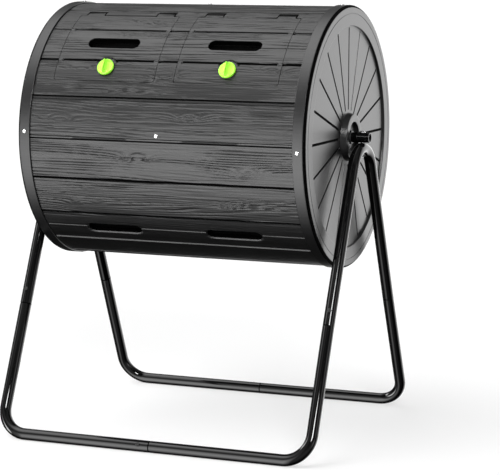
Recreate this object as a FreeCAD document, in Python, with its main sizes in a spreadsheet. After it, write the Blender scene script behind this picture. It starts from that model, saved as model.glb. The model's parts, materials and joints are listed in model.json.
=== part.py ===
import FreeCAD, Part
import math
import os
import re
import Sketcher

# Two-chamber compost tumbler: a drum of four curved plank panels between two
# moulded end caps turns on a fixed steel axle, which two tube arches and four
# corner tubes carry. Millimetres. Origin on the floor under the middle of the
# axle, +X along the axle, +Y to the back, +Z up. An angle about the axle is
# 0 at the front, 90 at the top and 180 at the back.

SIZES = [
    # frame of bent tube
    ("tube_diameter", 25.4),
    ("tube_wall", 1.2),
    ("rail_offset", 326.4),       # axle to the middle of a floor rail, along Y
    ("arch_offset", 360.9),       # middle of the drum to an arch, along X
    ("lean_angle", 24.4),         # leg from the vertical
    ("corner_bend", 58),          # bend between leg and floor rail
    ("leg_joint_height", 280),
    ("spigot_length", 45),
    ("spigot_gap", 0.2),
    ("leg_screw_rise", 32),       # screw above the leg joint, along the leg
    ("rail_screw_inset", 24),
    ("tube_screw_radius", 2.4),
    ("tube_screw_head", 4.6),
    # axle
    ("axle_height", 664.3),
    ("axle_diameter", 22),
    ("axle_wall", 2),
    ("axle_length", 758),
    ("axle_bolt_radius", 3),
    ("axle_bolt_head", 7),
    ("axle_nut_width", 10),
    ("axle_nut_height", 5),
    # end caps
    ("cap_radius", 287.5),
    ("cap_face", 333.1),          # outer face, from the middle of the drum
    ("cap_band", 28.7),           # width of the band that wraps the panels
    ("cap_wall", 4.5),
    ("cap_edge_round", 4),
    ("cap_recess", 5),
    ("cap_recess_radius", 242),
    ("cap_line_radius", 269),
    ("spoke_count", 20),
    ("spoke_width", 5),
    ("spoke_depth", 2.2),
    ("spoke_inner", 60),
    ("spoke_outer", 236),
    ("hub_face", 342.3),
    ("hub_radius", 50.5),
    ("hub_recess_radius", 34),
    ("bush_radius", 14),
    ("bush_inner", 300),
    ("bush_outer", 338),
    ("running_gap", 0.06),
    # plank panels
    ("panel_radius", 284.5),
    ("panel_wall", 4),
    ("panel_end", 328),
    ("panel_split", 0.12),        # angle left open between two panels
    ("plank_angle", 18),
    ("groove_width", 8),
    ("groove_depth", 2),
    ("flange_depth", 10),
    ("flange_thickness", 3),
    ("fin_depth", 16),
    ("fin_angle", 22.5),
    ("grip_length", 127),
    ("grip_width", 26),
    ("grip_depth", 13),
    ("grip_angle", -0.6),         # from the middle of a panel
    # divider
    ("divider_wall", 3),
    ("divider_gap", 0.5),
    ("divider_rim_width", 18),
    ("divider_bore", 13),
    # drum screws
    ("drum_screw_radius", 2),
    ("drum_screw_head", 4.4),
    ("drum_screw_angle", 2.4),    # from a panel seam
    ("cap_screw_place", 316),
    ("divider_screw_place", 4),
    # doors, given by their angles about the axle
    ("door_place", 141.5),        # middle of a door from the middle of the drum
    ("door_width", 237),
    ("door_low", 26),
    ("door_high", 66),
    ("door_gap", 1),
    ("door_top_gap", 2),
    ("door_wall", 3.6),
    ("lip_width", 8),
    ("lip_wall", 3.2),
    ("slot_length", 123),
    ("slot_width", 28),
    ("slot_depth", 15),
    ("slot_angle", 45.6),
    ("pan_wall", 3),
    # hinges
    ("hinge_angle", 68.2),
    ("hinge_radius", 278.5),
    ("lug_place", 84),            # middle of a lug from the middle of its door
    ("lug_width", 41),
    ("lug_gap", 1),
    ("barrel_radius", 6),
    ("hinge_pin_radius", 2),
    ("ear_thickness", 5),
    # latches, each turning on a radial axis
    ("latch_angle", 32.3),
    ("boss_radius", 27),
    ("boss_height", 284.9),       # heights of the latch are along its own axis
    ("collar_radius", 12),
    ("collar_height", 273.9),
    ("knob_radius", 20),
    ("knob_base", 285.3),
    ("knob_thickness", 5),
    ("ridge_width", 10),
    ("ridge_height", 12),
    ("spindle_radius", 6),
    ("square_width", 8),
    ("tongue_thickness", 3),
    ("tongue_reach", 36),
    ("tongue_width", 16),
]

PARTS_FOLDER = "parts"
SMALL = 0.01

doc = FreeCAD.newDocument("compost_tumbler")
sheet = doc.addObject("Spreadsheet::Sheet", "Sizes")
for row, (alias, size) in enumerate(SIZES, start=1):
    sheet.set(f"A{row}", alias)
    sheet.set(f"B{row}", str(size))
    sheet.setAlias(f"B{row}", alias)
doc.recompute()

ALIASES = [alias for alias, size in SIZES]
X_AXIS = FreeCAD.Vector(1, 0, 0)
Z_AXIS = FreeCAD.Vector(0, 0, 1)
bodies = []


def bound(formula):
    """The formula with each driving dimension written as a cell of the sheet."""
    def name_cell(match):
        word = match.group()
        return f"Sizes.{word}" if word in ALIASES else word

    return re.sub("[a-z_]+", name_cell, formula)


def value(formula):
    """The number that a formula gives now."""
    return float(sheet.evalExpression(bound(formula)))


def new_body(label, x="0", y="0", z="0", turn="0", axis=X_AXIS):
    """A body whose own origin is at x, y, z, turned about an axis through it."""
    body = doc.addObject("PartDesign::Body", label)
    body.Label = label
    start = FreeCAD.Vector(value(x), value(y), value(z))
    body.Placement = FreeCAD.Placement(start, FreeCAD.Rotation(axis, 1))
    for name, formula in (("Base.x", x), ("Base.y", y), ("Base.z", z), ("Rotation.Angle", turn)):
        body.setExpression(f"Placement.{name}", bound(formula))
    bodies.append(body)
    return body


def drum_body(label, angle, x="0"):
    """A body on the drum, whose own +Z points out of the axle at the angle."""
    return new_body(label, x=x, z="axle_height", turn=f"90 - ({angle})")


def origin_feature(body, role):
    for feature in body.Origin.OriginFeatures:
        if feature.Role == role:
            return feature


def new_sketch(body, name, plane, tilt="0", lift="0", shift="0"):
    """A sketch on an origin plane of the body.

    tilt turns it about X, so that what pointed along +Z leans towards +Y. lift
    moves it along its own normal: up, or to the front on XZ_Plane, or along X on
    YZ_Plane. shift moves it along X on the first two planes.
    """
    sketch = body.newObject("Sketcher::SketchObject", name)
    sketch.AttachmentSupport = [(origin_feature(body, plane), "")]
    sketch.MapMode = "FlatFace"
    axis = Z_AXIS if plane == "YZ_Plane" else X_AXIS
    sketch.AttachmentOffset = FreeCAD.Placement(FreeCAD.Vector(), FreeCAD.Rotation(axis, 1))
    sketch.setExpression("AttachmentOffset.Rotation.Angle", bound(f"0 - ({tilt})"))
    if plane == "YZ_Plane":
        sketch.setExpression("AttachmentOffset.Base.z", bound(lift))
        return sketch
    sketch.setExpression("AttachmentOffset.Base.x", bound(shift))
    sketch.setExpression("AttachmentOffset.Base.y", bound(f"({lift}) * sin({tilt})"))
    sketch.setExpression("AttachmentOffset.Base.z", bound(f"({lift}) * cos({tilt})"))
    return sketch


def fix_point(sketch, item, end, x, y):
    """Hold one end of a sketch line, or a circle's middle, at formulas."""
    for kind, formula in (("DistanceX", x), ("DistanceY", y)):
        index = sketch.addConstraint(Sketcher.Constraint(kind, -1, 1, item, end, value(formula)))
        name = f"{kind}_{item}_{end}"
        sketch.renameConstraint(index, name)
        sketch.setExpression(f"Constraints.{name}", bound(formula))


def fix_radius(sketch, item, formula):
    index = sketch.addConstraint(Sketcher.Constraint("Radius", item, value(formula)))
    sketch.renameConstraint(index, f"Radius_{item}")
    sketch.setExpression(f"Constraints.Radius_{item}", bound(formula))


def add_outline(sketch, corners):
    """A closed outline of straight sides through corners given as formulas."""
    points = [FreeCAD.Vector(value(x), value(y), 0) for x, y in corners]
    first = sketch.GeometryCount
    count = len(points)
    for index in range(count):
        line = Part.LineSegment(points[index], points[(index + 1) % count])
        sketch.addGeometry(line, False)
    for index in range(count):
        following = first + (index + 1) % count
        sketch.addConstraint(Sketcher.Constraint("Coincident", first + index, 2, following, 1))
    for index, (x, y) in enumerate(corners):
        fix_point(sketch, first + index, 1, x, y)


def add_rectangle(sketch, left, right, low, high):
    add_outline(sketch, [(left, low), (right, low), (right, high), (left, high)])


def add_circle(sketch, radius, x="0", y="0"):
    middle = FreeCAD.Vector(value(x), value(y), 0)
    item = sketch.addGeometry(Part.Circle(middle, Z_AXIS, value(radius)), False)
    fix_point(sketch, item, 3, x, y)
    fix_radius(sketch, item, radius)


def add_stadium(sketch, length, width, y="0"):
    """A slot along the sketch's x, given by its overall length and width."""
    half = value(f"({length} - {width}) / 2")
    radius = value(f"{width} / 2")
    height = value(y)
    right = FreeCAD.Vector(half, height, 0)
    left = FreeCAD.Vector(-half, height, 0)
    up = FreeCAD.Vector(0, radius, 0)
    right_end = Part.ArcOfCircle(Part.Circle(right, Z_AXIS, radius), -math.pi / 2, math.pi / 2)
    left_end = Part.ArcOfCircle(Part.Circle(left, Z_AXIS, radius), math.pi / 2, 3 * math.pi / 2)
    first = sketch.addGeometry(right_end, False)
    sketch.addGeometry(Part.LineSegment(right + up, left + up), False)
    sketch.addGeometry(left_end, False)
    sketch.addGeometry(Part.LineSegment(left - up, right - up), False)
    for item, end, following, start in ((0, 2, 1, 1), (1, 2, 2, 1), (2, 2, 3, 1), (3, 2, 0, 1)):
        sketch.addConstraint(
            Sketcher.Constraint("Tangent", first + item, end, first + following, start))
    fix_point(sketch, first, 3, f"({length} - {width}) / 2", y)
    fix_point(sketch, first + 2, 3, f"0 - ({length} - {width}) / 2", y)
    fix_radius(sketch, first, f"{width} / 2")


def extrude(body, sketch, length, cuts=False, both_ways=False, reverse=False):
    """Pad along the sketch's normal or cut against it, or reversed, or both ways."""
    kind = "PartDesign::Pocket" if cuts else "PartDesign::Pad"
    feature = body.newObject(kind, f"{sketch.Name}_extruded")
    feature.Profile = sketch
    feature.setExpression("Length", bound(length))
    feature.SideType = "Symmetric" if both_ways else "One side"
    feature.Reversed = reverse
    return finish_feature(body, feature, sketch, cuts)


def revolve(body, sketch, axis="H_Axis", angle="360", cuts=False):
    """Turn a sketch about one of its own axes, half the angle each way."""
    kind = "PartDesign::Groove" if cuts else "PartDesign::Revolution"
    feature = body.newObject(kind, f"{sketch.Name}_turned")
    feature.Profile = sketch
    feature.ReferenceAxis = (sketch, [axis])
    feature.Midplane = True
    feature.setExpression("Angle", bound(angle))
    return finish_feature(body, feature, sketch, cuts)


def mirror(body, plane, *originals):
    feature = body.newObject("PartDesign::Mirrored", f"{originals[0].Name}_mirrored")
    feature.Originals = list(originals)
    feature.MirrorPlane = (origin_feature(body, plane), [""])
    return finish_feature(body, feature)


def polar_pattern(body, original, count, angle):
    """Repeat a feature about the body's X axis, from +Z towards -Y."""
    feature = body.newObject("PartDesign::PolarPattern", f"{original.Name}_pattern")
    feature.Originals = [original]
    feature.Axis = (origin_feature(body, "X_Axis"), [""])
    feature.setExpression("Angle", bound(angle))
    feature.setExpression("Occurrences", bound(count))
    return finish_feature(body, feature)


def finish_feature(body, feature, sketch=None, cuts=False):
    """Make the feature the body's tip, and check that it adds or cuts material."""
    before = 0 if body.Shape.isNull() else body.Shape.Volume
    body.Tip = feature
    doc.recompute()
    if sketch:
        sketch.Visibility = False
    change = body.Shape.Volume - before
    if (cuts and change > -SMALL) or (not cuts and abs(change) < SMALL):
        raise RuntimeError(f"{body.Label}: {feature.Name} changes nothing")
    return feature


# ---------------------------------------------------------------- frame

TUBE_RADIUS = "tube_diameter / 2"
TUBE_BORE = "(tube_diameter / 2 - tube_wall)"
ARCH_TOP = "(axle_height - axle_diameter / 2 - tube_diameter / 2)"
# The bend at an arch's top is the one circle that both leaning legs run into.
ARCH_BEND = (f"((rail_offset * cos(lean_angle) - ({ARCH_TOP} - {TUBE_RADIUS}) * sin(lean_angle))"
             " / (1 - sin(lean_angle)))")
LEG_LENGTH = f"((leg_joint_height - {TUBE_RADIUS}) / cos(lean_angle))"
LEG_JOINT_Y = f"(rail_offset - (leg_joint_height - {TUBE_RADIUS}) * tan(lean_angle))"
# How far a leg's line passes from the floor origin, and where the origin's
# nearest point lies along it, counted from the floor rail.
LEG_LIFT = f"(rail_offset * cos(lean_angle) + {TUBE_RADIUS} * sin(lean_angle))"
LEG_START = f"({TUBE_RADIUS} * cos(lean_angle) - rail_offset * sin(lean_angle))"
SCREW_ALONG_LEG = f"{LEG_LENGTH} + leg_screw_rise"
CUT_MARGIN = 2


def tube_section(body, name, plane, height="0"):
    sketch = new_sketch(body, name, plane)
    add_circle(sketch, TUBE_RADIUS, y=height)
    add_circle(sketch, TUBE_BORE, y=height)
    return sketch


def sweep(body, profile, path, edges):
    feature = body.newObject("PartDesign::AdditivePipe", f"{path.Name}_swept")
    feature.Profile = profile
    feature.Spine = (path, edges)
    feature.Transition = "Transformed"
    path.Visibility = False
    return finish_feature(body, feature, profile)


def bent_path(body, name, plane, start, centre, radius, tangent_a, tangent_b, end):
    """An arc with a straight running into each end, or only its start.

    The far ends of the straights are held at formulas, and so are the arc's
    middle and radius. An arc end with no straight stays on the sketch's upright.
    """
    sketch = new_sketch(body, name, plane)
    middle = FreeCAD.Vector(value(centre[0]), value(centre[1]), 0)
    arc = Part.ArcOfCircle(Part.Circle(middle, Z_AXIS, value(radius)), tangent_a, tangent_b)
    sketch.addGeometry(arc, False)
    fix_point(sketch, 0, 3, *centre)
    fix_radius(sketch, 0, radius)
    for point, arc_end, meeting in ((start, 1, arc.StartPoint), (end, 2, arc.EndPoint)):
        if point is None:
            sketch.addConstraint(Sketcher.Constraint("PointOnObject", 0, arc_end, -2))
            continue
        corner = FreeCAD.Vector(value(point[0]), value(point[1]), 0)
        line = sketch.addGeometry(Part.LineSegment(meeting, corner), False)
        sketch.addConstraint(Sketcher.Constraint("Tangent", 0, arc_end, line, 1))
        fix_point(sketch, line, 2, *point)
    doc.recompute()
    return sketch


def arch(label, side):
    """The upper half of a frame side: two leaning legs joined over the top."""
    body = new_body(label, x=f"{side} * arch_offset")
    section = tube_section(body, "section", "XZ_Plane", ARCH_TOP)
    lean = math.radians(value("lean_angle"))
    path = bent_path(
        body, "path", "YZ_Plane",
        start=None, end=(f"0 - {LEG_JOINT_Y}", "leg_joint_height"),
        centre=("0", f"{ARCH_TOP} - {ARCH_BEND}"), radius=ARCH_BEND,
        tangent_a=math.pi / 2, tangent_b=math.pi - lean)
    half = sweep(body, section, path, ["Edge1", "Edge2"])
    mirror(body, "XZ_Plane", half)

    bolt_hole = new_sketch(body, "bolt_hole", "XY_Plane", lift=f"{ARCH_TOP} + tube_diameter")
    add_circle(bolt_hole, "axle_bolt_radius")
    extrude(body, bolt_hole, "2 * tube_diameter", cuts=True)

    screw_hole = new_sketch(body, "screw_hole", "XZ_Plane", tilt="lean_angle",
                            lift=f"{LEG_LIFT} + {TUBE_RADIUS} + {CUT_MARGIN}")
    add_circle(screw_hole, "tube_screw_radius", y=f"{LEG_START} + {SCREW_ALONG_LEG}")
    hole = extrude(body, screw_hole, f"{TUBE_RADIUS} + {CUT_MARGIN}", cuts=True)
    mirror(body, "XZ_Plane", hole)


def spigot(body, name, place, along):
    """A drawn-in tube end: along is where it starts on its own tube's line."""
    sketch = new_sketch(body, name, "XZ_Plane", shift=place)
    outer = f"({TUBE_BORE} - spigot_gap)"
    inner = f"({TUBE_BORE} - spigot_gap - tube_wall)"
    shoulder = f"({TUBE_RADIUS} - tube_wall / 2)"
    corners = [(inner, -6), (shoulder, -6), (shoulder, -1.5), (outer, 0),
               (outer, "spigot_length"), (inner, "spigot_length")]
    if along == "rail":
        add_outline(sketch, [(f"0 - ({y})", f"{x}") for x, y in corners])
        return revolve(body, sketch, "H_Axis")
    add_outline(sketch, [(f"{x}", f"{LEG_LENGTH} + ({y})") for x, y in corners])
    return revolve(body, sketch, "V_Axis")


def corner_tube(label, side, front):
    """A leg's lower half, its bend and half of a floor rail, in one leaning plane.

    side is -1 on the left and 1 on the right, front is 1 at the front and -1 at
    the back. The right tube's rail end is drawn in and slides into the left one.
    """
    body = new_body(label, y=f"0 - {front} * rail_offset", z=TUBE_RADIUS,
                    turn=f"0 - {front} * lean_angle")
    section = tube_section(body, "section", "YZ_Plane")
    turned = (-math.pi / 2, 0) if side > 0 else (math.pi, 3 * math.pi / 2)
    rail_end = ("0", "0")
    leg_end = (f"{side} * arch_offset", LEG_LENGTH)
    path = bent_path(
        body, "path", "XZ_Plane",
        start=rail_end if side > 0 else leg_end, end=leg_end if side > 0 else rail_end,
        centre=(f"{side} * (arch_offset - corner_bend)", "corner_bend"), radius="corner_bend",
        tangent_a=turned[0], tangent_b=turned[1])
    sweep(body, section, path, ["Edge1", "Edge2", "Edge3"])
    spigot(body, "leg_spigot", f"{side} * arch_offset", "leg")
    if side > 0:
        spigot(body, "rail_spigot", "0", "rail")

    screw_holes = new_sketch(body, "screw_holes", "XZ_Plane",
                             lift=f"{front} * ({TUBE_RADIUS} + {CUT_MARGIN})")
    add_circle(screw_holes, "tube_screw_radius", x=f"{side} * arch_offset", y=SCREW_ALONG_LEG)
    add_circle(screw_holes, "tube_screw_radius", x="0 - rail_screw_inset")
    extrude(body, screw_holes, f"{TUBE_RADIUS} + {CUT_MARGIN}", cuts=True, reverse=front < 0)


def tube_screws(label, front):
    """The two leg screws and the one rail screw of the front or the back."""
    body = new_body(label, y=f"0 - {front} * rail_offset", z=TUBE_RADIUS,
                    turn=f"0 - {front} * lean_angle")
    shank_depth = 8
    head_height = 2.4
    for name, radius, low, length in (
            ("shank", "tube_screw_radius", f"{TUBE_RADIUS} - {shank_depth}", shank_depth + 1),
            ("head", "tube_screw_head", TUBE_RADIUS, head_height)):
        sketch = new_sketch(body, name, "XZ_Plane", lift=f"{front} * ({low})")
        for x, y in (("arch_offset", SCREW_ALONG_LEG), ("0 - arch_offset", SCREW_ALONG_LEG),
                     ("0 - rail_screw_inset", "0")):
            add_circle(sketch, radius, x=x, y=y)
        extrude(body, sketch, str(length), reverse=front < 0)


def axle():
    body = new_body("axle", z="axle_height")
    section = new_sketch(body, "section", "YZ_Plane")
    add_circle(section, "axle_diameter / 2")
    add_circle(section, "axle_diameter / 2 - axle_wall")
    extrude(body, section, "axle_length", both_ways=True)
    bolt_holes = new_sketch(body, "bolt_holes", "XY_Plane", lift="axle_diameter")
    add_circle(bolt_holes, "axle_bolt_radius", x="arch_offset")
    add_circle(bolt_holes, "axle_bolt_radius", x="0 - arch_offset")
    extrude(body, bolt_holes, "2 * axle_diameter", cuts=True)


def axle_bolts():
    """A domed bolt down through the axle and the top of each arch."""
    body = new_body("axle_bolts", z="axle_height")
    sketch = new_sketch(body, "bolt", "XZ_Plane", shift="arch_offset")
    top = "axle_diameter / 2"
    end = "(0 - axle_diameter / 2 - tube_diameter - axle_nut_height - 2.5)"
    add_outline(sketch, [
        ("0", end), ("axle_bolt_radius", end), ("axle_bolt_radius", top),
        ("axle_bolt_head", top), ("axle_bolt_head", f"{top} + 1"),
        ("axle_bolt_head * 0.75", f"{top} + 2.8"), ("axle_bolt_head * 0.35", f"{top} + 3.6"),
        ("0", f"{top} + 3.8")])
    mirror(body, "YZ_Plane", revolve(body, sketch, "V_Axis"))


def axle_nuts():
    """The nuts under the arches, just clear of the inside of the bend."""
    body = new_body("axle_nuts", z=f"{ARCH_TOP} - {TUBE_RADIUS} - axle_nut_height - 0.4")
    sketch = new_sketch(body, "nut", "XY_Plane", shift="arch_offset")
    half = "axle_nut_width / 2"
    point = "axle_nut_width / sqrt(3)"
    side = "axle_nut_width / sqrt(3) / 2"
    add_outline(sketch, [
        (point, "0"), (side, half), (f"0 - {side}", half),
        (f"0 - {point}", "0"), (f"0 - {side}", f"0 - {half}"), (side, f"0 - {half}")])
    add_circle(sketch, "axle_bolt_radius")
    mirror(body, "YZ_Plane", extrude(body, sketch, "axle_nut_height"))


# ---------------------------------------------------------------- drum

PANEL_BORE = "(panel_radius - panel_wall)"
BAND_BORE = "(panel_radius + 0.3)"
CAP_RIB = "(panel_radius - panel_wall - 0.3)"
CAP_BACK = "(cap_face - cap_wall)"
RECESS_FACE = "(cap_face - cap_recess)"
RECESS_BACK = "(cap_face - cap_recess - cap_wall)"
SCREW_PITCH = 90


def screw_holes(body, name, place, angle):
    """One radial hole; angle is from the body's own +Z."""
    sketch = new_sketch(body, name, "XY_Plane", tilt=angle, lift="cap_radius + 5")
    add_circle(sketch, "drum_screw_radius", x=place)
    return extrude(body, sketch, "25", cuts=True)


def end_cap(label, turn):
    """A cap as it sits on the right; the left one is the same, turned half round."""
    body = new_body(label, z="axle_height", turn=turn, axis=Z_AXIS)
    wall = new_sketch(body, "wall", "XZ_Plane")
    add_outline(wall, [
        # hub: sleeve around the bush, sunk floor, raised ring
        ("bush_inner", "bush_radius"), ("cap_face", "bush_radius"),
        ("cap_face", "hub_recess_radius"), ("hub_face", "hub_recess_radius"),
        ("hub_face", "hub_radius"), (RECESS_FACE, "hub_radius + 3"),
        # face: sunk disc, step, a fine line around, and the outer edge
        (RECESS_FACE, "cap_recess_radius"), ("cap_face", "cap_recess_radius + 1"),
        ("cap_face", "cap_line_radius - 0.6"), ("cap_face - 0.8", "cap_line_radius - 0.6"),
        ("cap_face - 0.8", "cap_line_radius + 0.6"), ("cap_face", "cap_line_radius + 0.6"),
        ("cap_face", "cap_radius"),
        # band over the panels' ends, channel that they stand in, and inner rib
        ("cap_face - cap_band", "cap_radius"), ("cap_face - cap_band", BAND_BORE),
        (CAP_BACK, BAND_BORE), (CAP_BACK, CAP_RIB), ("cap_face - cap_band + 2", CAP_RIB),
        ("cap_face - cap_band + 2", f"{CAP_RIB} - 3.5"), (CAP_BACK, f"{CAP_RIB} - 3.5"),
        # back of the disc and of the hub
        (CAP_BACK, "cap_recess_radius + cap_wall"), (RECESS_BACK, "cap_recess_radius + cap_wall"),
        (RECESS_BACK, "hub_radius - 1.5"), ("hub_face - cap_wall", "hub_radius - 4"),
        ("hub_face - cap_wall", "hub_recess_radius + cap_wall"),
        ("cap_face - cap_wall", "hub_recess_radius + cap_wall"),
        ("cap_face - cap_wall", "bush_radius + 4"), ("bush_inner", "bush_radius + 4")])
    revolve(body, wall)
    round_edge(body, value("cap_face"), value("cap_radius"), "cap_edge_round")

    spoke = new_sketch(body, "spoke", "YZ_Plane", lift=f"{RECESS_FACE} + {CUT_MARGIN}")
    half = "spoke_width / 2"
    add_rectangle(spoke, f"0 - {half}", half, "spoke_inner", "spoke_outer")
    cut = extrude(body, spoke, f"spoke_depth + {CUT_MARGIN}", cuts=True)
    polar_pattern(body, cut, "spoke_count", "360")
    hole = screw_holes(body, "screw_hole", "cap_screw_place", "0 - drum_screw_angle")
    polar_pattern(body, hole, f"360 / {SCREW_PITCH}", "360")


def round_edge(body, along, radius, size):
    """Fillet the full circle that lies at a place along X and at a radius."""
    base = body.Tip
    for index, edge in enumerate(base.Shape.Edges, start=1):
        if not isinstance(edge.Curve, Part.Circle):
            continue
        if abs(edge.Curve.Radius - radius) < SMALL and abs(edge.Curve.Center.x - along) < SMALL:
            fillet = body.newObject("PartDesign::Fillet", "edge_round")
            fillet.Base = (base, [f"Edge{index}"])
            fillet.setExpression("Radius", bound(size))
            return finish_feature(body, fillet, cuts=True)
    raise RuntimeError(f"{body.Label} has no edge to round")


def bush(label, turn):
    body = new_body(label, z="axle_height", turn=turn, axis=Z_AXIS)
    wall = new_sketch(body, "wall", "XZ_Plane")
    bore = "axle_diameter / 2 + running_gap"
    add_outline(wall, [
        ("bush_inner", bore), ("bush_outer", bore), ("bush_outer", "bush_radius"),
        ("bush_outer - 0.8", "bush_radius + 0.8"), ("cap_face", "bush_radius + 0.8"),
        ("cap_face", "bush_radius"), ("bush_inner", "bush_radius")])
    revolve(body, wall)


def divider():
    """The wall between the two chambers, with a rim that the panels sit on."""
    body = new_body("divider", z="axle_height")
    wall = new_sketch(body, "wall", "XZ_Plane")
    half = "divider_wall / 2"
    rim = "divider_rim_width / 2"
    rim_top = f"({PANEL_BORE} - divider_gap)"
    rim_low = f"({PANEL_BORE} - divider_gap - 4)"
    hub_top = "(divider_bore + 4)"
    add_outline(wall, [
        (f"0 - {rim}", "divider_bore"), (rim, "divider_bore"), (rim, hub_top),
        (half, hub_top), (half, rim_low), (rim, rim_low), (rim, rim_top),
        (f"0 - {rim}", rim_top), (f"0 - {rim}", rim_low), (f"0 - {half}", rim_low),
        (f"0 - {half}", hub_top), (f"0 - {rim}", hub_top)])
    revolve(body, wall)
    hole = screw_holes(body, "screw_hole", "0 - divider_screw_place", "drum_screw_angle")
    polar_pattern(body, hole, f"360 / {SCREW_PITCH}", "360")


def drum_screws(label, place, angle, head_base):
    """Four pan-head screws, one beside each panel seam."""
    body = new_body(label, z="axle_height")
    sketch = new_sketch(body, "screw", "XZ_Plane", tilt=angle, shift=place)
    end = f"{PANEL_BORE} - 8"
    add_outline(sketch, [
        ("0", end), ("drum_screw_radius * 0.4", end), ("drum_screw_radius", f"{end} + 2"),
        ("drum_screw_radius", head_base), ("drum_screw_head", head_base),
        ("drum_screw_head", f"{head_base} + 0.8"),
        ("drum_screw_head * 0.7", f"{head_base} + 1.8"), ("0", f"{head_base} + 2.1")])
    polar_pattern(body, revolve(body, sketch, "V_Axis"), f"360 / {SCREW_PITCH}", "360")


def panel_shell(label, middle):
    """A quarter of the drum's wall, with its plank grooves and joining flanges."""
    body = drum_body(label, middle)
    wall = new_sketch(body, "wall", "XZ_Plane")
    add_rectangle(wall, "0 - panel_end", "panel_end", PANEL_BORE, "panel_radius")
    revolve(body, wall, angle="90 - panel_split")
    flange = new_sketch(body, "flange", "YZ_Plane", tilt="45 - panel_split / 2")
    add_rectangle(flange, "0 - flange_thickness", "0",
                  f"{PANEL_BORE} - flange_depth", f"{PANEL_BORE} + panel_wall / 4")
    one = extrude(body, flange, "2 * (panel_end - cap_band)", both_ways=True)
    mirror(body, "XZ_Plane", one)
    groove = plank_groove(body, "groove", "2 * panel_end + 2", "45")
    polar_pattern(body, groove, "90 / plank_angle + 1", "90")
    return body


def plank_groove(body, name, length, angle):
    """A V along X in the outer face, at an angle from the body's own +Z."""
    sketch = new_sketch(body, name, "YZ_Plane", tilt=angle)
    half = "groove_width / 2"
    add_outline(sketch, [
        (f"0 - {half} - 0.5", "panel_radius + 0.5"), ("0", "panel_radius - groove_depth"),
        (f"{half} + 0.5", "panel_radius + 0.5")])
    return extrude(body, sketch, length, cuts=True, both_ways=True)


def clear_divider(body):
    """Take the inner ribs away where the divider's rim passes."""
    sketch = new_sketch(body, "rim_channel", "XZ_Plane")
    half = "(divider_rim_width / 2 + 2)"
    add_rectangle(sketch, f"0 - {half}", half, f"{PANEL_BORE} - 30", PANEL_BORE)
    revolve(body, sketch, cuts=True)


def panel_screw_holes(body):
    for name, place, angle in (
            ("left_hole", "0 - cap_screw_place", "drum_screw_angle - 45"),
            ("middle_hole", "0 - divider_screw_place", "drum_screw_angle - 45"),
            ("right_hole", "cap_screw_place", "45 - drum_screw_angle")):
        screw_holes(body, name, place, angle)


def recessed_grip(body, name, place, tilt, length, width, depth):
    """A closed finger pocket: a pan behind the wall, open to the outside."""
    pan = new_sketch(body, f"{name}_pan", "XY_Plane", tilt=tilt, shift=place,
                     lift=f"panel_radius - {depth} - pan_wall")
    add_stadium(pan, f"({length} + 2 * pan_wall)", f"({width} + 2 * pan_wall)")
    extrude(body, pan, f"{depth} + pan_wall - panel_wall / 2")
    hollow = new_sketch(body, f"{name}_hollow", "XY_Plane", tilt=tilt, shift=place,
                        lift=f"panel_radius + {CUT_MARGIN}")
    add_stadium(hollow, length, width)
    extrude(body, hollow, f"{depth} + {CUT_MARGIN}", cuts=True)


def plain_panel(label, middle):
    """A panel with two finger grips and two inner fins that turn the compost."""
    body = panel_shell(label, middle)
    fin = new_sketch(body, "fin", "YZ_Plane", tilt="fin_angle")
    root = f"{PANEL_BORE} + panel_wall / 4"
    tip = f"{PANEL_BORE} - fin_depth"
    add_outline(fin, [("-5", root), ("-2", tip), ("2", tip), ("5", root)])
    one = extrude(body, fin, "2 * (panel_end - cap_band - 6)", both_ways=True)
    mirror(body, "XZ_Plane", one)
    clear_divider(body)
    for side, name in ((-1, "left_grip"), (1, "right_grip")):
        recessed_grip(body, name, f"{side} * door_place", "grip_angle",
                      "grip_length", "grip_width", "grip_depth")
    panel_screw_holes(body)


DOOR_MIDDLE = "((door_low + door_high) / 2)"
DOOR_SPAN = "(door_high - door_low)"
DOOR_PANEL_MIDDLE = "45"


def angle_for(length):
    """The angle that a short length takes at the drum's wall."""
    return f"(({length}) / panel_radius * 180 / pi)"


def arc_block(body, name, left, right, low, high, start, end, cuts=False):
    """A block or a cut between two places along X, two radii and two angles."""
    sketch = new_sketch(body, name, "XZ_Plane",
                        tilt=f"(({start}) + ({end})) / 2 - {DOOR_PANEL_MIDDLE}")
    add_rectangle(sketch, left, right, low, high)
    return revolve(body, sketch, angle=f"({end}) - ({start})", cuts=cuts)


def door_panel(label):
    """The panel with the two door openings, their lips and the hinge ears."""
    body = panel_shell(label, DOOR_PANEL_MIDDLE)
    half = "door_width / 2"
    lip = "lip_width"
    lip_low = f"{PANEL_BORE} - lip_wall"
    opening_low = f"(door_low - {angle_for('door_gap')})"
    opening_high = f"(door_high + {angle_for('door_top_gap')})"
    for side in (-1, 1):
        hand = "left" if side < 0 else "right"
        place = f"{side} * door_place"
        left = f"{place} - {half}"
        right = f"{place} + {half}"
        arc_block(body, f"{hand}_lip", f"{left} - {lip}", f"{right} + {lip}",
                  lip_low, f"{PANEL_BORE} + 0.2",
                  f"door_low - {angle_for(lip)}", f"door_high + {angle_for(lip)}")
        for lug_side in (-1, 1):
            lug = f"({place} + {lug_side} * lug_place)"
            hinge_ears(body, f"{hand}_{'inner' if lug_side * side < 0 else 'outer'}", lug)
        arc_block(body, f"{hand}_recess", f"{left} - door_gap", f"{right} + door_gap",
                  PANEL_BORE, "panel_radius + 5", opening_low, opening_high, cuts=True)
        arc_block(body, f"{hand}_opening", f"{left} + {lip}", f"{right} - {lip}",
                  f"{lip_low} - 1", "panel_radius + 5",
                  f"door_low + {angle_for(lip)}", f"door_high - {angle_for(lip)}", cuts=True)
    clear_divider(body)
    panel_screw_holes(body)


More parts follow.
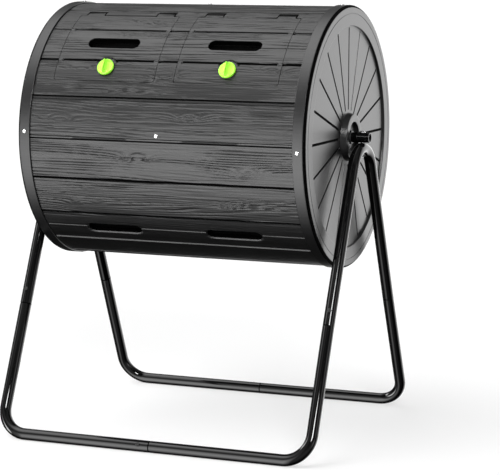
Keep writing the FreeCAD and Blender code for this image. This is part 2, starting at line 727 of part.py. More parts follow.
def hinge_ears(body, name, lug):
    """Two ears beside a lug's notch, with the hole that holds the hinge pin."""
    tilt = f"hinge_angle - {DOOR_PANEL_MIDDLE}"
    reach = "(lug_width / 2 + lug_gap + ear_thickness)"
    notch = "(lug_width / 2 + lug_gap)"
    block = new_sketch(body, f"{name}_ears", "YZ_Plane", tilt=tilt, lift=lug)
    add_rectangle(block, "0 - barrel_radius", "barrel_radius",
                  "hinge_radius - barrel_radius - 1", f"{PANEL_BORE} + panel_wall / 4")
    extrude(body, block, f"2 * {reach}", both_ways=True)
    pin_hole = new_sketch(body, f"{name}_pin_hole", "YZ_Plane", tilt=tilt, lift=lug)
    add_circle(pin_hole, "hinge_pin_radius", y="hinge_radius")
    extrude(body, pin_hole, f"2 * {reach}", cuts=True, both_ways=True)
    arc_block(body, f"{name}_notch", f"{lug} - {notch}", f"{lug} + {notch}",
              "hinge_radius - barrel_radius - 3", "panel_radius + 5",
              f"hinge_angle - {angle_for('2 * barrel_radius')}",
              f"hinge_angle + {angle_for('barrel_radius + lug_gap')}", cuts=True)


def hinge_pins():
    """One short rod through each lug, held in its two ears."""
    body = drum_body("hinge_pins", "hinge_angle")
    length = "lug_width + 2 * lug_gap + 2 * ear_thickness"
    for side in (-1, 1):
        for lug_side in (-1, 1):
            sketch = new_sketch(body, f"pin_{side + 2}_{lug_side + 2}", "YZ_Plane",
                                lift=f"{side} * door_place + {lug_side} * lug_place")
            add_circle(sketch, "hinge_pin_radius", y="hinge_radius")
            extrude(body, sketch, length, both_ways=True)


# ---------------------------------------------------------------- doors and latches

LATCH_TILT = f"latch_angle - {DOOR_MIDDLE}"


def door(label, side):
    """A curved lid between its two hinge lugs and its latch."""
    body = drum_body(label, DOOR_MIDDLE, x=f"{side} * door_place")
    inner = "(panel_radius - door_wall)"
    half = "door_width / 2"
    wall = new_sketch(body, "wall", "XZ_Plane")
    add_rectangle(wall, f"0 - {half}", half, inner, "panel_radius")
    revolve(body, wall, angle=DOOR_SPAN)
    for name, angle in (("lower_groove", "2 * plank_angle"), ("upper_groove", "3 * plank_angle")):
        plank_groove(body, name, "door_width - 2 * groove_width", f"{angle} - {DOOR_MIDDLE}")

    boss = new_sketch(body, "boss", "XZ_Plane", tilt=LATCH_TILT)
    add_outline(boss, [
        ("0", "collar_height"), ("collar_radius", "collar_height"),
        ("collar_radius", "boss_height - 4"), ("boss_radius", "boss_height - 4"),
        ("boss_radius", "boss_height"), ("0", "boss_height")])
    revolve(body, boss, "V_Axis")
    spindle_hole = new_sketch(body, "spindle_hole", "XY_Plane", tilt=LATCH_TILT,
                              lift=f"boss_height + {CUT_MARGIN}")
    add_circle(spindle_hole, "spindle_radius + running_gap")
    extrude(body, spindle_hole, "boss_height - collar_height + 4", cuts=True)

    recessed_grip(body, "hand_slot", "0", f"slot_angle - {DOOR_MIDDLE}",
                  "slot_length", "slot_width", "slot_depth")
    for lug_side in (-1, 1):
        hinge_lug(body, "left_lug" if lug_side < 0 else "right_lug", lug_side, inner)


def hinge_lug(body, name, side, inner):
    """An arm that carries the door's wall on to a barrel around the hinge pin."""
    tilt = f"hinge_angle - {DOOR_MIDDLE}"
    place = f"{side} * lug_place"
    root = "(0 - (hinge_angle - door_high) * pi / 180 * panel_radius - 2)"
    arm = new_sketch(body, f"{name}_arm", "YZ_Plane", tilt=tilt, lift=place)
    add_outline(arm, [
        (root, f"{inner} - 0.2"), ("0", "hinge_radius"), ("0", "panel_radius"),
        (root, "panel_radius - 0.4")])
    extrude(body, arm, "lug_width", both_ways=True)
    barrel = new_sketch(body, f"{name}_barrel", "YZ_Plane", tilt=tilt, lift=place)
    add_circle(barrel, "barrel_radius", y="hinge_radius")
    extrude(body, barrel, "lug_width", both_ways=True)
    bore = new_sketch(body, f"{name}_bore", "YZ_Plane", tilt=tilt, lift=place)
    add_circle(bore, "hinge_pin_radius + running_gap", y="hinge_radius")
    extrude(body, bore, "lug_width + 2", cuts=True, both_ways=True)


def latch_body(label, side):
    return drum_body(label, "latch_angle", x=f"{side} * door_place")


def latch_knob(label, side):
    """A round knob with an upright ridge, on a spindle with a square end."""
    body = latch_body(label, side)
    turned = new_sketch(body, "turned", "XZ_Plane")
    add_outline(turned, [
        ("0", "collar_height"), ("spindle_radius", "collar_height"),
        ("spindle_radius", "knob_base"), ("knob_radius - 1", "knob_base"),
        ("knob_radius", "knob_base + 1"), ("knob_radius", "knob_base + knob_thickness - 1.5"),
        ("knob_radius - 1.5", "knob_base + knob_thickness"), ("0", "knob_base + knob_thickness")])
    revolve(body, turned, "V_Axis")
    ridge = new_sketch(body, "ridge", "XY_Plane", lift="knob_base + knob_thickness - 1")
    half = "ridge_width / 2"
    long_half = "(knob_radius - 3)"
    add_outline(ridge, [
        (f"0 - {half}", f"0 - {long_half}"), (half, f"0 - {long_half}"),
        (half, f"{long_half} - 4"), ("0", long_half), (f"0 - {half}", f"{long_half} - 4")])
    extrude(body, ridge, "ridge_height + 1")
    square = new_sketch(body, "square", "XY_Plane", lift="collar_height")
    side_half = "square_width / 2"
    add_rectangle(square, f"0 - {side_half}", side_half, f"0 - {side_half}", side_half)
    extrude(body, square, "tongue_thickness", reverse=True)
    screw_hole = new_sketch(body, "screw_hole", "XY_Plane", lift="collar_height + 4")
    add_circle(screw_hole, "drum_screw_radius")
    extrude(body, screw_hole, "tongue_thickness + 6", cuts=True)


def latch_tongue(label, side):
    """The bolt behind the door. It points along X when open, and down when shut."""
    body = latch_body(label, side)
    plate = new_sketch(body, "plate", "XY_Plane", lift="collar_height - tongue_thickness - 0.4")
    half = "tongue_width / 2"
    back = "(0 - tongue_width / 2)"
    add_outline(plate, [
        (back, f"0 - {half} + 3"), (f"{back} + 3", f"0 - {half}"),
        ("tongue_reach - 5", f"0 - {half}"), ("tongue_reach", f"0 - {half} + 5"),
        ("tongue_reach", f"{half} - 5"), ("tongue_reach - 5", half),
        (f"{back} + 3", half), (back, f"{half} - 3")])
    side_half = "square_width / 2"
    add_rectangle(plate, f"0 - {side_half}", side_half, f"0 - {side_half}", side_half)
    extrude(body, plate, "tongue_thickness")


def latch_screw(label, side):
    """The screw that holds the tongue on the spindle."""
    body = latch_body(label, side)
    sketch = new_sketch(body, "screw", "XZ_Plane")
    head_top = "(collar_height - tongue_thickness - 0.4)"
    head_radius = "(square_width / 2 + 2.5)"
    add_outline(sketch, [
        ("0", f"{head_top} - 2"), (f"{head_radius} - 1", f"{head_top} - 2"),
        (head_radius, f"{head_top} - 1"), (head_radius, head_top),
        ("drum_screw_radius", head_top), ("drum_screw_radius", "collar_height + 2"),
        ("0", "collar_height + 2")])
    revolve(body, sketch, "V_Axis")


def build():
    for side, hand in ((-1, "left"), (1, "right")):
        arch(f"arch_{hand}", side)
        corner_tube(f"corner_tube_front_{hand}", side, 1)
        corner_tube(f"corner_tube_rear_{hand}", side, -1)
    tube_screws("tube_screws_front", 1)
    tube_screws("tube_screws_rear", -1)
    axle()
    axle_bolts()
    axle_nuts()

    for hand, turn in (("left", "180"), ("right", "0")):
        end_cap(f"end_cap_{hand}", turn)
        bush(f"bush_{hand}", turn)
    divider()
    door_panel("panel_door_front")
    for label, middle in (("panel_lower_front", "-45"), ("panel_lower_rear", "-135"),
                          ("panel_upper_rear", "135")):
        plain_panel(label, middle)
    hinge_pins()
    drum_screws("cap_screws_left", "0 - cap_screw_place", "drum_screw_angle", "cap_radius")
    drum_screws("cap_screws_right", "cap_screw_place", "0 - drum_screw_angle", "cap_radius")
    drum_screws("divider_screws", "0 - divider_screw_place", "drum_screw_angle",
                "panel_radius")

    for side, hand in ((-1, "left"), (1, "right")):
        door(f"door_{hand}", side)
        latch_knob(f"latch_knob_{hand}", side)
        latch_tongue(f"latch_tongue_{hand}", side)
        latch_screw(f"latch_screw_{hand}", side)


def check_document():
    for item in doc.Objects:
        if "Invalid" in item.State or "Error" in item.State:
            raise RuntimeError(f"{item.Name} failed: {item.State}")
    for body in bodies:
        if body.Shape.isNull() or not body.Shape.isValid():
            raise RuntimeError(f"{body.Label} has no valid shape")


def write_parts():
    os.makedirs(PARTS_FOLDER, exist_ok=True)
    for body in bodies:
        body.Shape.exportStep(os.path.join(PARTS_FOLDER, f"{body.Label}.step"))
        print(body.Label, len(body.Shape.Solids), round(body.Shape.Volume))


build()
doc.recompute()
check_document()
write_parts()
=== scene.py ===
import json
import math

import bmesh
import bpy
import numpy as np
from mathutils import Euler, Matrix, Vector

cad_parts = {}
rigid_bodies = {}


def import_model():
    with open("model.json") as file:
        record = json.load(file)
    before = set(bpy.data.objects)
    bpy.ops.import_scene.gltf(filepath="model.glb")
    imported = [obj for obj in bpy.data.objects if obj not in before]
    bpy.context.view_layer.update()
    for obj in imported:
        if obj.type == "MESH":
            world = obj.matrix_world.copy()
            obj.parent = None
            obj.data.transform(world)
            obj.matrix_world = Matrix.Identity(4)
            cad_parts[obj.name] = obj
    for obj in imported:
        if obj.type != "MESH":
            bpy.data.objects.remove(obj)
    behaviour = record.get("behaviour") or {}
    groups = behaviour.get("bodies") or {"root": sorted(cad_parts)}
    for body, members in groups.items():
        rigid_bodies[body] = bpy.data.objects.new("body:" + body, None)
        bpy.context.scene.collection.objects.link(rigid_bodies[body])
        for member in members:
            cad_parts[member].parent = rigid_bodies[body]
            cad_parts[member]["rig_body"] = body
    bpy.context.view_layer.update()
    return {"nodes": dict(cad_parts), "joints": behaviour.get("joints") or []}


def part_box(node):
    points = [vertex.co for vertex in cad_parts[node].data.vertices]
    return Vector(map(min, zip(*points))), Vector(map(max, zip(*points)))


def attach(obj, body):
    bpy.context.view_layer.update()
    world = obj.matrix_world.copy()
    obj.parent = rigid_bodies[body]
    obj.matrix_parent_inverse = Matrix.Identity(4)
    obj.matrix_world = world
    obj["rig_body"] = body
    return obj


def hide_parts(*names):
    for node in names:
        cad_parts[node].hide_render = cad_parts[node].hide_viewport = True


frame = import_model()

# The looks of a two-chamber compost tumbler. Metres and degrees. +X runs along
# the axle, +Y to the back and +Z up. An angle about the axle is 0 at the front
# and 90 at the top.

SEED = 7

JOINTS = {joint["name"]: joint for joint in frame["joints"]}
AXLE_HEIGHT = JOINTS["drum_spin"]["pos_m"][2]


def points_of(node):
    """A CAD node's vertices, as an array of rows x, y, z."""
    mesh = frame["nodes"][node].data
    flat = np.empty(len(mesh.vertices) * 3)
    mesh.vertices.foreach_get("co", flat)
    return flat.reshape(-1, 3)


def radius_of(points):
    """Distance from the axle's line."""
    return np.hypot(points[:, 1], points[:, 2] - AXLE_HEIGHT)


def angle_of(points):
    """Angle about the axle's line, in degrees, from -180 to 180."""
    return np.degrees(np.arctan2(points[:, 2] - AXLE_HEIGHT, -points[:, 1]))


def on_drum(x, angle, radius):
    """Points of the drum, as rows x, y, z, from arrays of places."""
    turn = np.radians(angle)
    return np.stack([x, -radius * np.cos(turn), AXLE_HEIGHT + radius * np.sin(turn)], axis=-1)


PANEL_RADIUS = radius_of(points_of("panel_lower_front")).max()
PANEL_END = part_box("panel_lower_front")[1].x
CAP_RADIUS = radius_of(points_of("end_cap_right")).max()
CAP_BAND_END = 0.3044
PLANK_ANGLE = 18
SHELL_DEPTH = 0.0026          # how far the grained skin reaches into a wall

DOOR_PLACE = abs(JOINTS["door_left_open"]["pos_m"][0])
DOOR_HALF = (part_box("door_left")[1].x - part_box("door_left")[0].x) / 2
DOOR_LOW = 26.0
DOOR_HIGH = 66.0
DOOR_CORNER = 0.005
DOOR_GAP = 0.001
DOOR_TOP_GAP = 0.002
LUG_PLACE = 0.084
LUG_HALF = 0.0198
LUG_GAP = 0.0028
LUG_TOP = 68.8
NOTCH_TOP = 70.5
SLOT_ANGLE = 45.6
SLOT_LENGTH = 0.123
SLOT_WIDTH = 0.028
GRIP_ANGLE = -0.6             # from the middle of a plain panel
GRIP_LENGTH = 0.127
GRIP_WIDTH = 0.026
LATCH_ANGLE = 32.3
BOSS_RADIUS = 0.027


# ---------------------------------------------------------------- meshes

SMOOTH_ANGLE = 35


def outward_at(point):
    """The direction straight away from the axle's line."""
    return Vector((0, point.y, point.z - AXLE_HEIGHT)).normalized()


def new_piece(name, points, faces, body, material, smooth_angle):
    """A mesh object that rides on a CAD body."""
    mesh = bpy.data.meshes.new(name)
    mesh.from_pydata([tuple(point) for point in points], [], faces)
    mesh.validate()
    piece = bpy.data.objects.new(name, mesh)
    bpy.context.scene.collection.objects.link(piece)
    mesh.materials.append(material)
    shade(mesh, smooth_angle)
    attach(piece, body)
    return piece


def shade(mesh, smooth_angle):
    """Smooth shading, with an edge left sharp where it turns by more than an angle."""
    work = bmesh.new()
    work.from_mesh(mesh)
    bmesh.ops.remove_doubles(work, verts=work.verts, dist=1e-6)
    bmesh.ops.recalc_face_normals(work, faces=work.faces)
    limit = math.radians(smooth_angle)
    for face in work.faces:
        face.smooth = True
    for edge in work.edges:
        edge.smooth = len(edge.link_faces) != 2 or edge.calc_face_angle(0) < limit
    work.to_mesh(mesh)
    work.free()


def grid_faces(rows, columns, closed_rows=False, closed_columns=False):
    """Quads over a grid of points that is stored row by row."""
    faces = []
    for row in range(rows if closed_rows else rows - 1):
        below = (row + 1) % rows
        for column in range(columns if closed_columns else columns - 1):
            right = (column + 1) % columns
            faces.append((row * columns + column, row * columns + right,
                          below * columns + right, below * columns + column))
    return faces


def finished(node, material, change=None):
    """A smooth-shaded copy of a CAD node, which stands for it."""
    source = frame["nodes"][node]
    piece = bpy.data.objects.new(f"{node}_finished", source.data.copy())
    bpy.context.scene.collection.objects.link(piece)
    piece.data.materials.clear()
    piece.data.materials.append(material)
    if change:
        change(piece.data)
    shade(piece.data, SMOOTH_ANGLE)
    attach(piece, source["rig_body"])
    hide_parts(node)
    return piece


# ---------------------------------------------------------------- wood grain

def noise(u, v, seed):
    """Smooth value noise from 0 to 1 over a lattice of unit cells."""
    size = 256
    lattice = np.random.default_rng(SEED * 1000 + seed).random((size, size))
    column = np.floor(u).astype(int)
    row = np.floor(v).astype(int)
    along = u - column
    across = v - row
    along = along * along * (3 - 2 * along)
    across = across * across * (3 - 2 * across)
    left = column % size
    right = (column + 1) % size
    low = row % size
    high = (row + 1) % size
    lower = lattice[left, low] * (1 - along) + lattice[right, low] * along
    upper = lattice[left, high] * (1 - along) + lattice[right, high] * along
    return lower * (1 - across) + upper * across


KNOTS = [                     # place along X and angle of each knot in the planks
    (-0.235, 8), (0.07, 11), (0.262, 5), (-0.05, -7), (0.205, -12),
    (-0.19, -31), (0.12, -27), (0.29, -40), (-0.085, 61), (0.0, 30),
    (-0.2, 31), (0.24, 33), (-0.27, 84), (0.15, 79), (0.03, 118),
    (-0.21, 142), (0.2, 165), (-0.1, -172), (0.11, -139), (-0.26, -112),
    (0.25, -98), (-0.03, -66),
]
KNOT_LENGTH = 0.034
KNOT_WIDTH = 0.0085
KNOT_RINGS = 3.2
LINE_SPACING = 0.0062
LINE_HALF = 0.22              # as a share of the spacing
LINE_DEPTH = 0.0012
STREAK_DEPTH = 0.0007


def grain(x, angle):
    """Depth of the moulded wood grain, from 0 down to -1.9 mm. It stops short of a seam."""
    plank = np.floor(angle / PLANK_ANGLE)
    around = PANEL_RADIUS * np.radians(angle)
    shift = plank * 13.37
    rings = around / LINE_SPACING + 4.2 * noise(x / 0.40 + shift, around / 0.034 + shift, 1)
    rings += 0.9 * noise(x / 0.12 + shift, around / 0.012 + shift, 2)
    for place, knot_angle in KNOTS:
        rise = ((x - place) / KNOT_LENGTH) ** 2
        rise = rise + (PANEL_RADIUS * np.radians(angle - knot_angle) / KNOT_WIDTH) ** 2
        rings += KNOT_RINGS * np.exp(-rise)
    off_line = np.abs(rings - np.round(rings))
    line = np.clip(1 - off_line / LINE_HALF, 0, 1)
    presence = np.clip(2.2 * noise(x / 0.12 + shift, around / 0.011 + shift, 3) - 0.45, 0, 1)
    streak = noise(x / 0.09 + shift, around / 0.0024 + shift, 4)
    streak = 0.6 * streak + 0.4 * noise(x / 0.05 + shift, around / 0.0051 + shift, 5)
    from_seam = np.abs(np.mod(angle + 45, 90) - 45)
    clear = np.clip(arc_length(from_seam) / 0.001 - 4.4, 0, 1)
    return -clear * (LINE_DEPTH * line * presence + STREAK_DEPTH * streak)


GROOVE_HALF = 0.0029
WEDGE_HALF = 0.0050           # half the width of a groove where it opens at a door's end
WEDGE_TAPER = 0.6


def slot(distance, middle=0.0, half=0.0019, depth=0.0022):
    """A narrow groove with steep sides, some way up the wall from a joint's line."""
    slope = 0.0005
    return -depth * np.clip((half - np.abs(distance - middle)) / slope, 0, 1)


def ledge(distance, top=0.0012, foot=0.0046, depth=0.0024):
    """A groove with a steep wall above and an even slope below, which catches light."""
    rise = np.minimum((top - distance) / 0.0005, (distance + foot) / depth)
    return -depth * np.clip(rise, 0, 1)


def channel(distance):
    """A shallow flat groove between a wide slot above and a fine one below."""
    shelf = slot(distance, half=0.0048, depth=0.0014)
    wide = slot(distance, middle=0.0028, half=0.0027)
    fine = slot(distance, middle=-0.0042, half=0.0010)
    return np.minimum(shelf, np.minimum(wide, fine))


SEAM_ENDS = [-0.3025, -0.2007, -0.0723, 0.0534, 0.1809, 0.3033]


def seam(x, distance):
    """The joint of two panels: five tabs that lie under and over by turns."""
    tab = np.searchsorted(SEAM_ENDS, x)
    under = (tab == 2) | (tab == 4)
    line = slot(distance, middle=-0.0016, half=0.0014)
    edge = slot(distance, middle=0.0044, half=0.0008, depth=0.0021)
    part = (distance + 0.0002) / 0.0044
    inside = (part > 0) & (part < 1)
    rising = np.where(inside, -0.0008 * (1 - part), 0)
    falling = np.where(inside, -0.0014 * part, 0)
    return np.minimum(np.minimum(line, edge), np.where(under, falling, rising))


def plank_joints(x, angle, flat_bottomed=(), sloped=(), wedges=(), seams=True):
    """Depth of the grooves between planks and at the panel seams.

    Some grooves are flat-bottomed or sloped, and each widens at the wedges along X.
    """
    depth = np.zeros_like(x)
    nearest = np.round(angle / PLANK_ANGLE) * PLANK_ANGLE
    distance = PANEL_RADIUS * np.radians(angle - nearest)
    is_seam = np.isclose(np.mod(nearest, 90), 0) & seams
    is_flat = np.isin(nearest, flat_bottomed)
    is_sloped = np.isin(nearest, sloped)
    plain = ~is_seam & ~is_flat & ~is_sloped
    half = np.full_like(x, GROOVE_HALF)
    for wedge in wedges:
        half = np.maximum(half, WEDGE_HALF - WEDGE_TAPER * np.abs(x - wedge))
    depth[plain] = slot(distance[plain], half=half[plain])
    depth[is_flat] = channel(distance[is_flat])
    depth[is_sloped] = ledge(distance[is_sloped])
    depth[is_seam] = seam(x[is_seam], distance[is_seam])
    return depth


# ---------------------------------------------------------------- grained skins

def box_inside(x, y, half_x, half_y, corner):
    """How far a place lies inside a box with rounded corners, about 0, 0."""
    over_x = np.abs(x) - half_x + corner
    over_y = np.abs(y) - half_y + corner
    outside = np.hypot(np.maximum(over_x, 0), np.maximum(over_y, 0))
    return corner - outside - np.minimum(np.maximum(over_x, over_y), 0)


def arc_length(angle):
    return PANEL_RADIUS * np.radians(angle)


def angle_span(low, high):
    """The middle and half the length of an arc on the drum's wall."""
    return (low + high) / 2, arc_length(high - low) / 2


def stadium_inside(x, angle, place, middle, length, width):
    return box_inside(x - place, arc_length(angle - middle), length / 2, width / 2, width / 2)


def door_inside(x, angle, place, grow, top_grow, lug_top):
    """How far inside a door's outline, with its two hinge lugs, a place lies."""
    low = DOOR_LOW - math.degrees(grow / PANEL_RADIUS)
    high = DOOR_HIGH + math.degrees(top_grow / PANEL_RADIUS)
    middle, half = angle_span(low, high)
    inside = box_inside(x - place, arc_length(angle - middle), DOOR_HALF + grow, half, DOOR_CORNER)
    lug_grow = LUG_GAP if grow else 0
    middle, half = angle_span(high - 3, lug_top)
    for side in (-1, 1):
        lug = box_inside(x - place - side * LUG_PLACE, arc_length(angle - middle),
                         LUG_HALF + lug_grow, half, 0.0004)
        inside = np.maximum(inside, lug)
    return inside


def clipped_grid(xs, angles, keep):
    """A grid over the wall, cut off along the line where keep falls to 0.

    Returns the places, as rows x and angle, and the faces.
    """
    gx, ga = np.meshgrid(xs, angles, indexing="ij")
    rows, columns = gx.shape
    places = [*zip(gx.ravel(), ga.ravel())]
    kept = keep(gx, ga).ravel()
    corner = np.arange(rows * columns).reshape(rows, columns)
    cells = np.stack([corner[:-1, :-1], corner[1:, :-1], corner[1:, 1:], corner[:-1, 1:]], axis=-1)
    cells = cells.reshape(-1, 4)
    count = (kept[cells] > 0).sum(axis=1)
    faces = [tuple(cell) for cell in cells[count == 4].tolist()]
    cuts = {}

    def cut_between(a, b):
        key = (min(a, b), max(a, b))
        if key not in cuts:
            part = kept[a] / (kept[a] - kept[b])
            cuts[key] = len(places)
            places.append((places[a][0] + part * (places[b][0] - places[a][0]),
                           places[a][1] + part * (places[b][1] - places[a][1])))
        return cuts[key]

    for cell in cells[(count > 0) & (count < 4)].tolist():
        outline = []
        for a, b in zip(cell, cell[1:] + cell[:1]):
            if kept[a] > 0:
                outline.append(a)
            if (kept[a] > 0) != (kept[b] > 0):
                outline.append(cut_between(a, b))
        faces.append(tuple(outline))

    used = sorted({index for face in faces for index in face})
    renumber = {old: new for new, old in enumerate(used)}
    places = np.array([places[index] for index in used])
    return places, [tuple(renumber[index] for index in face) for face in faces]


def skin(name, body, material, xs, angles, keep, depth):
    """A grained outer skin whose edges turn down into the wall."""
    places, faces = clipped_grid(xs, angles, keep)
    x = places[:, 0]
    angle = places[:, 1]
    points = on_drum(x, angle, PANEL_RADIUS + depth(x, angle))
    mesh = bpy.data.meshes.new(name)
    mesh.from_pydata(points.tolist(), [], faces)
    work = bmesh.new()
    work.from_mesh(mesh)
    rim = [edge for edge in work.edges if edge.is_boundary]
    turned = bmesh.ops.extrude_edge_only(work, edges=rim)["geom"]
    foot = PANEL_RADIUS - SHELL_DEPTH - 0.0003
    for vertex in turned:
        if isinstance(vertex, bmesh.types.BMVert):
            vertex.co = Vector((vertex.co.x, 0, AXLE_HEIGHT)) + outward_at(vertex.co) * foot
    work.to_mesh(mesh)
    work.free()
    piece = bpy.data.objects.new(name, mesh)
    bpy.context.scene.collection.objects.link(piece)
    mesh.materials.append(material)
    shade(mesh, 30)
    # painted shade on the groove floors
    paint_groove_shade(mesh)
    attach(piece, body)
    return piece


GROOVE_FLOOR = 0.0020         # deeper than any grain
SKIN_FOOT = SHELL_DEPTH - 0.0002
FACES_INWARD = -0.3


def paint_groove_shade(mesh):
    """Painted shade: the floors of narrow grooves take the near-black matt plastic that stands in for
    the shade there.
    """
    mesh.materials.append(bpy.data.materials["painted_shade_plastic"])
    depth = [PANEL_RADIUS - math.hypot(vertex.co.y, vertex.co.z - AXLE_HEIGHT)
             for vertex in mesh.vertices]
    for face in mesh.polygons:
        if GROOVE_FLOOR < min(depth[index] for index in face.vertices) < SKIN_FOOT:
            face.material_index = 1


def paint_pocket_shade(mesh):
    """Painted shade: what lies under a skin, and the pockets in a wall, take the same near-black matt
    plastic.

    The side of the wall that faces the axle keeps the first material.
    """
    mesh.materials.append(bpy.data.materials["painted_shade_plastic"])
    for face in mesh.polygons:
        if face.normal.dot(outward_at(face.center)) > FACES_INWARD:
            face.material_index = 1


def sunk_under_skin(mesh, spare=None):
    """Pull a wall's outer face in to where the skin's edges end."""
    flat = np.empty(len(mesh.vertices) * 3)
    mesh.vertices.foreach_get("co", flat)
    points = flat.reshape(-1, 3)
    radius = radius_of(points)
    deepest = PANEL_RADIUS - SHELL_DEPTH
    moved = radius > deepest
    if spare is not None:
        moved &= ~spare(points)
    points[moved] = on_drum(points[moved, 0], angle_of(points[moved]), deepest)
    mesh.vertices.foreach_set("co", points.ravel())


def covered(node, wall, material, spare=None):
    """A CAD wall sunk under its grained skin, with the skin joined to it."""
    piece = finished(node, material, change=lambda mesh: sunk_under_skin(mesh, spare))
    # painted shade on the wall's sunk outer face and its pockets
    paint_pocket_shade(piece.data)
    work = bmesh.new()
    work.from_mesh(piece.data)
    work.from_mesh(wall.data)
    work.to_mesh(piece.data)
    work.free()
    bpy.data.objects.remove(wall)
    return piece


X_STEP = 0.004
ANGLE_STEP = 0.2
JOINT_REACH = 0.0054
JOINT_LINES = (0.0003, 0.0009, 0.0014, 0.0019, 0.0024, 0.0029, 0.0034, 0.0041, 0.0046, 0.0051)


def steps(low, high, step):
    return np.linspace(low, high, round((high - low) / step) + 1)


def wall_angles(low, high):
    """Angles of a skin's grid lines, closer together at the joints between planks."""
    angles = steps(low, high, ANGLE_STEP)
    nearest = np.round(angles / PLANK_ANGLE) * PLANK_ANGLE
    away = np.abs(arc_length(angles - nearest)) > JOINT_REACH
    away[[0, -1]] = True
    extra = [joint + sign * math.degrees(line / PANEL_RADIUS)
             for joint in np.unique(nearest) for line in JOINT_LINES for sign in (-1, 1)]
    extra = [angle for angle in extra if low + 0.05 < angle < high - 0.05]
    return np.sort(np.concatenate([angles[away], extra]))


GRIP_CHAMFER = 0.0022
RIDGE_ANGLE = 0.6             # from the middle of a plain panel, as are the next two
FAINT_BELOW = 4               # where the grain starts to grow from its faintest
GRAIN_GROWTH = 10             # the angle over which it would reach full depth
FAINTEST_GRAIN = 0.15


def plain_panel(node, middle, material):
    """A quarter of the wall with two finger grips, its grain fainter in the lower half."""
    grip = middle + GRIP_ANGLE

    def grip_inside(x, angle):
        holes = [stadium_inside(x, angle, side * DOOR_PLACE, grip, GRIP_LENGTH, GRIP_WIDTH)
                 for side in (-1, 1)]
        return np.maximum(*holes)

    def keep(x, angle):
        return np.minimum(1.0, -grip_inside(x, angle))

    def depth(x, angle):
        chamfer = -GRIP_CHAMFER * np.clip(1 + grip_inside(x, angle) / GRIP_CHAMFER, 0, 1)
        joints = plank_joints(x, angle, sloped=[middle - PLANK_ANGLE / 2])
        ridge = ledge(arc_length(angle - middle - RIDGE_ANGLE), top=0.0006, foot=0.0018, depth=0.0012)
        growth = np.clip((angle - middle - FAINT_BELOW) / GRAIN_GROWTH, FAINTEST_GRAIN, 1)
        grooves = np.minimum(joints, np.minimum(chamfer, ridge))
        return np.minimum(grain(x, angle) * growth, grooves)

    xs = steps(-PANEL_END, PANEL_END, X_STEP)
    angles = wall_angles(middle - 44.93, middle + 44.93)
    wall = skin(f"{node}_skin", "drum", material, xs, angles, keep, depth)
    return covered(node, wall, material)


def door_panel(node, material):
    """The quarter of the wall with the two door openings."""
    def keep(x, angle):
        inside = np.full_like(x, 1.0)
        for side in (-1, 1):
            hole = door_inside(x, angle, side * DOOR_PLACE, DOOR_GAP, DOOR_TOP_GAP, NOTCH_TOP)
            inside = np.minimum(inside, -hole)
        return inside

    def depth(x, angle):
        wedges = [side * DOOR_PLACE + DOOR_HALF + 0.004 for side in (-1, 1)]
        joints = plank_joints(x, angle, flat_bottomed=[18], wedges=wedges)
        return np.minimum(grain(x, angle), joints)

    xs = steps(-PANEL_END, PANEL_END, X_STEP)
    angles = wall_angles(0.07, 89.93)
    wall = skin(f"{node}_skin", "drum", material, xs, angles, keep, depth)
    return covered(node, wall, material)


def door(hand, side, material):
    """A door with its hand slot, hinge lugs and the flat boss behind its knob."""
    node = f"door_{hand}"
    place = side * DOOR_PLACE

    def keep(x, angle):
        inside = door_inside(x, angle, place, 0, 0, LUG_TOP)
        hole = stadium_inside(x, angle, place, SLOT_ANGLE, SLOT_LENGTH, SLOT_WIDTH)
        return np.minimum(inside, -hole)

    def depth(x, angle):
        end = DOOR_HALF - 0.008
        above = arc_length(angle - LATCH_ANGLE)
        from_latch = np.hypot(x - place, above)
        on_plank = np.clip((end - np.abs(x - place)) / 0.002, 0, 1)
        on_plank *= np.clip((from_latch - BOSS_RADIUS) / 0.002 + 1, 0, 1)
        joints = plank_joints(x, angle, wedges=[place - end + 0.002], seams=False) * on_plank
        arc = slot(from_latch, middle=BOSS_RADIUS - 0.0012, half=0.0016)
        joints = np.minimum(joints, arc * (above > BOSS_RADIUS * 0.45))
        return np.minimum(grain(x, angle), joints)

    def spare(points):
        return angle_of(points) > DOOR_HIGH + 0.4

    xs = steps(place - DOOR_HALF - X_STEP, place + DOOR_HALF + X_STEP, 0.0025)
    angles = wall_angles(DOOR_LOW - 0.5, LUG_TOP + 0.5)
    wall = skin(f"{node}_skin", node, material, xs, angles, keep, depth)
    return covered(node, wall, material, spare)


# ---------------------------------------------------------------- end caps

HUB_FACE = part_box("end_cap_right")[1].x
CAP_FACE = HUB_FACE - 0.0092
SUNK_FACE = CAP_FACE - 0.005
CAP_WALL = 0.0045
BUSH_RADIUS = 0.014
HUB_RECESS = 0.034
HUB_RADIUS = 0.0505
RECESS_RADIUS = 0.242
LINE_RADIUS = 0.269
SPOKES = 20
SPOKE_HALF = 0.0029
SPOKE_DEPTH = 0.0022
SPOKE_INNER = 0.0625
SPOKE_OUTER = 0.2362
SPOKE_SLOPE = 0.0006
RIM_ROUNDING = 0.0072


def rounded_path(corners):
    """A line through corners x, radius, rounding, as points with the corners rounded."""
    path = []
    for index, (x, radius, rounding) in enumerate(corners):
        here = Vector((x, radius))
        if rounding == 0 or index in (0, len(corners) - 1):
            path.append(here)
            continue
        back = (Vector(corners[index - 1][:2]) - here).normalized()
        ahead = (Vector(corners[index + 1][:2]) - here).normalized()
        half_turn = (math.pi - back.angle(ahead)) / 2
        reach = rounding * math.tan(half_turn)
        centre = here + (back + ahead).normalized() * rounding / math.cos(half_turn)
        start = here + back * reach - centre
        end = here + ahead * reach - centre
        arc_points = 5
        for number in range(arc_points + 1):
            part = number / arc_points
            spoke = (start * (1 - part) + end * part).normalized()
            path.append(centre + spoke * rounding)
    return path


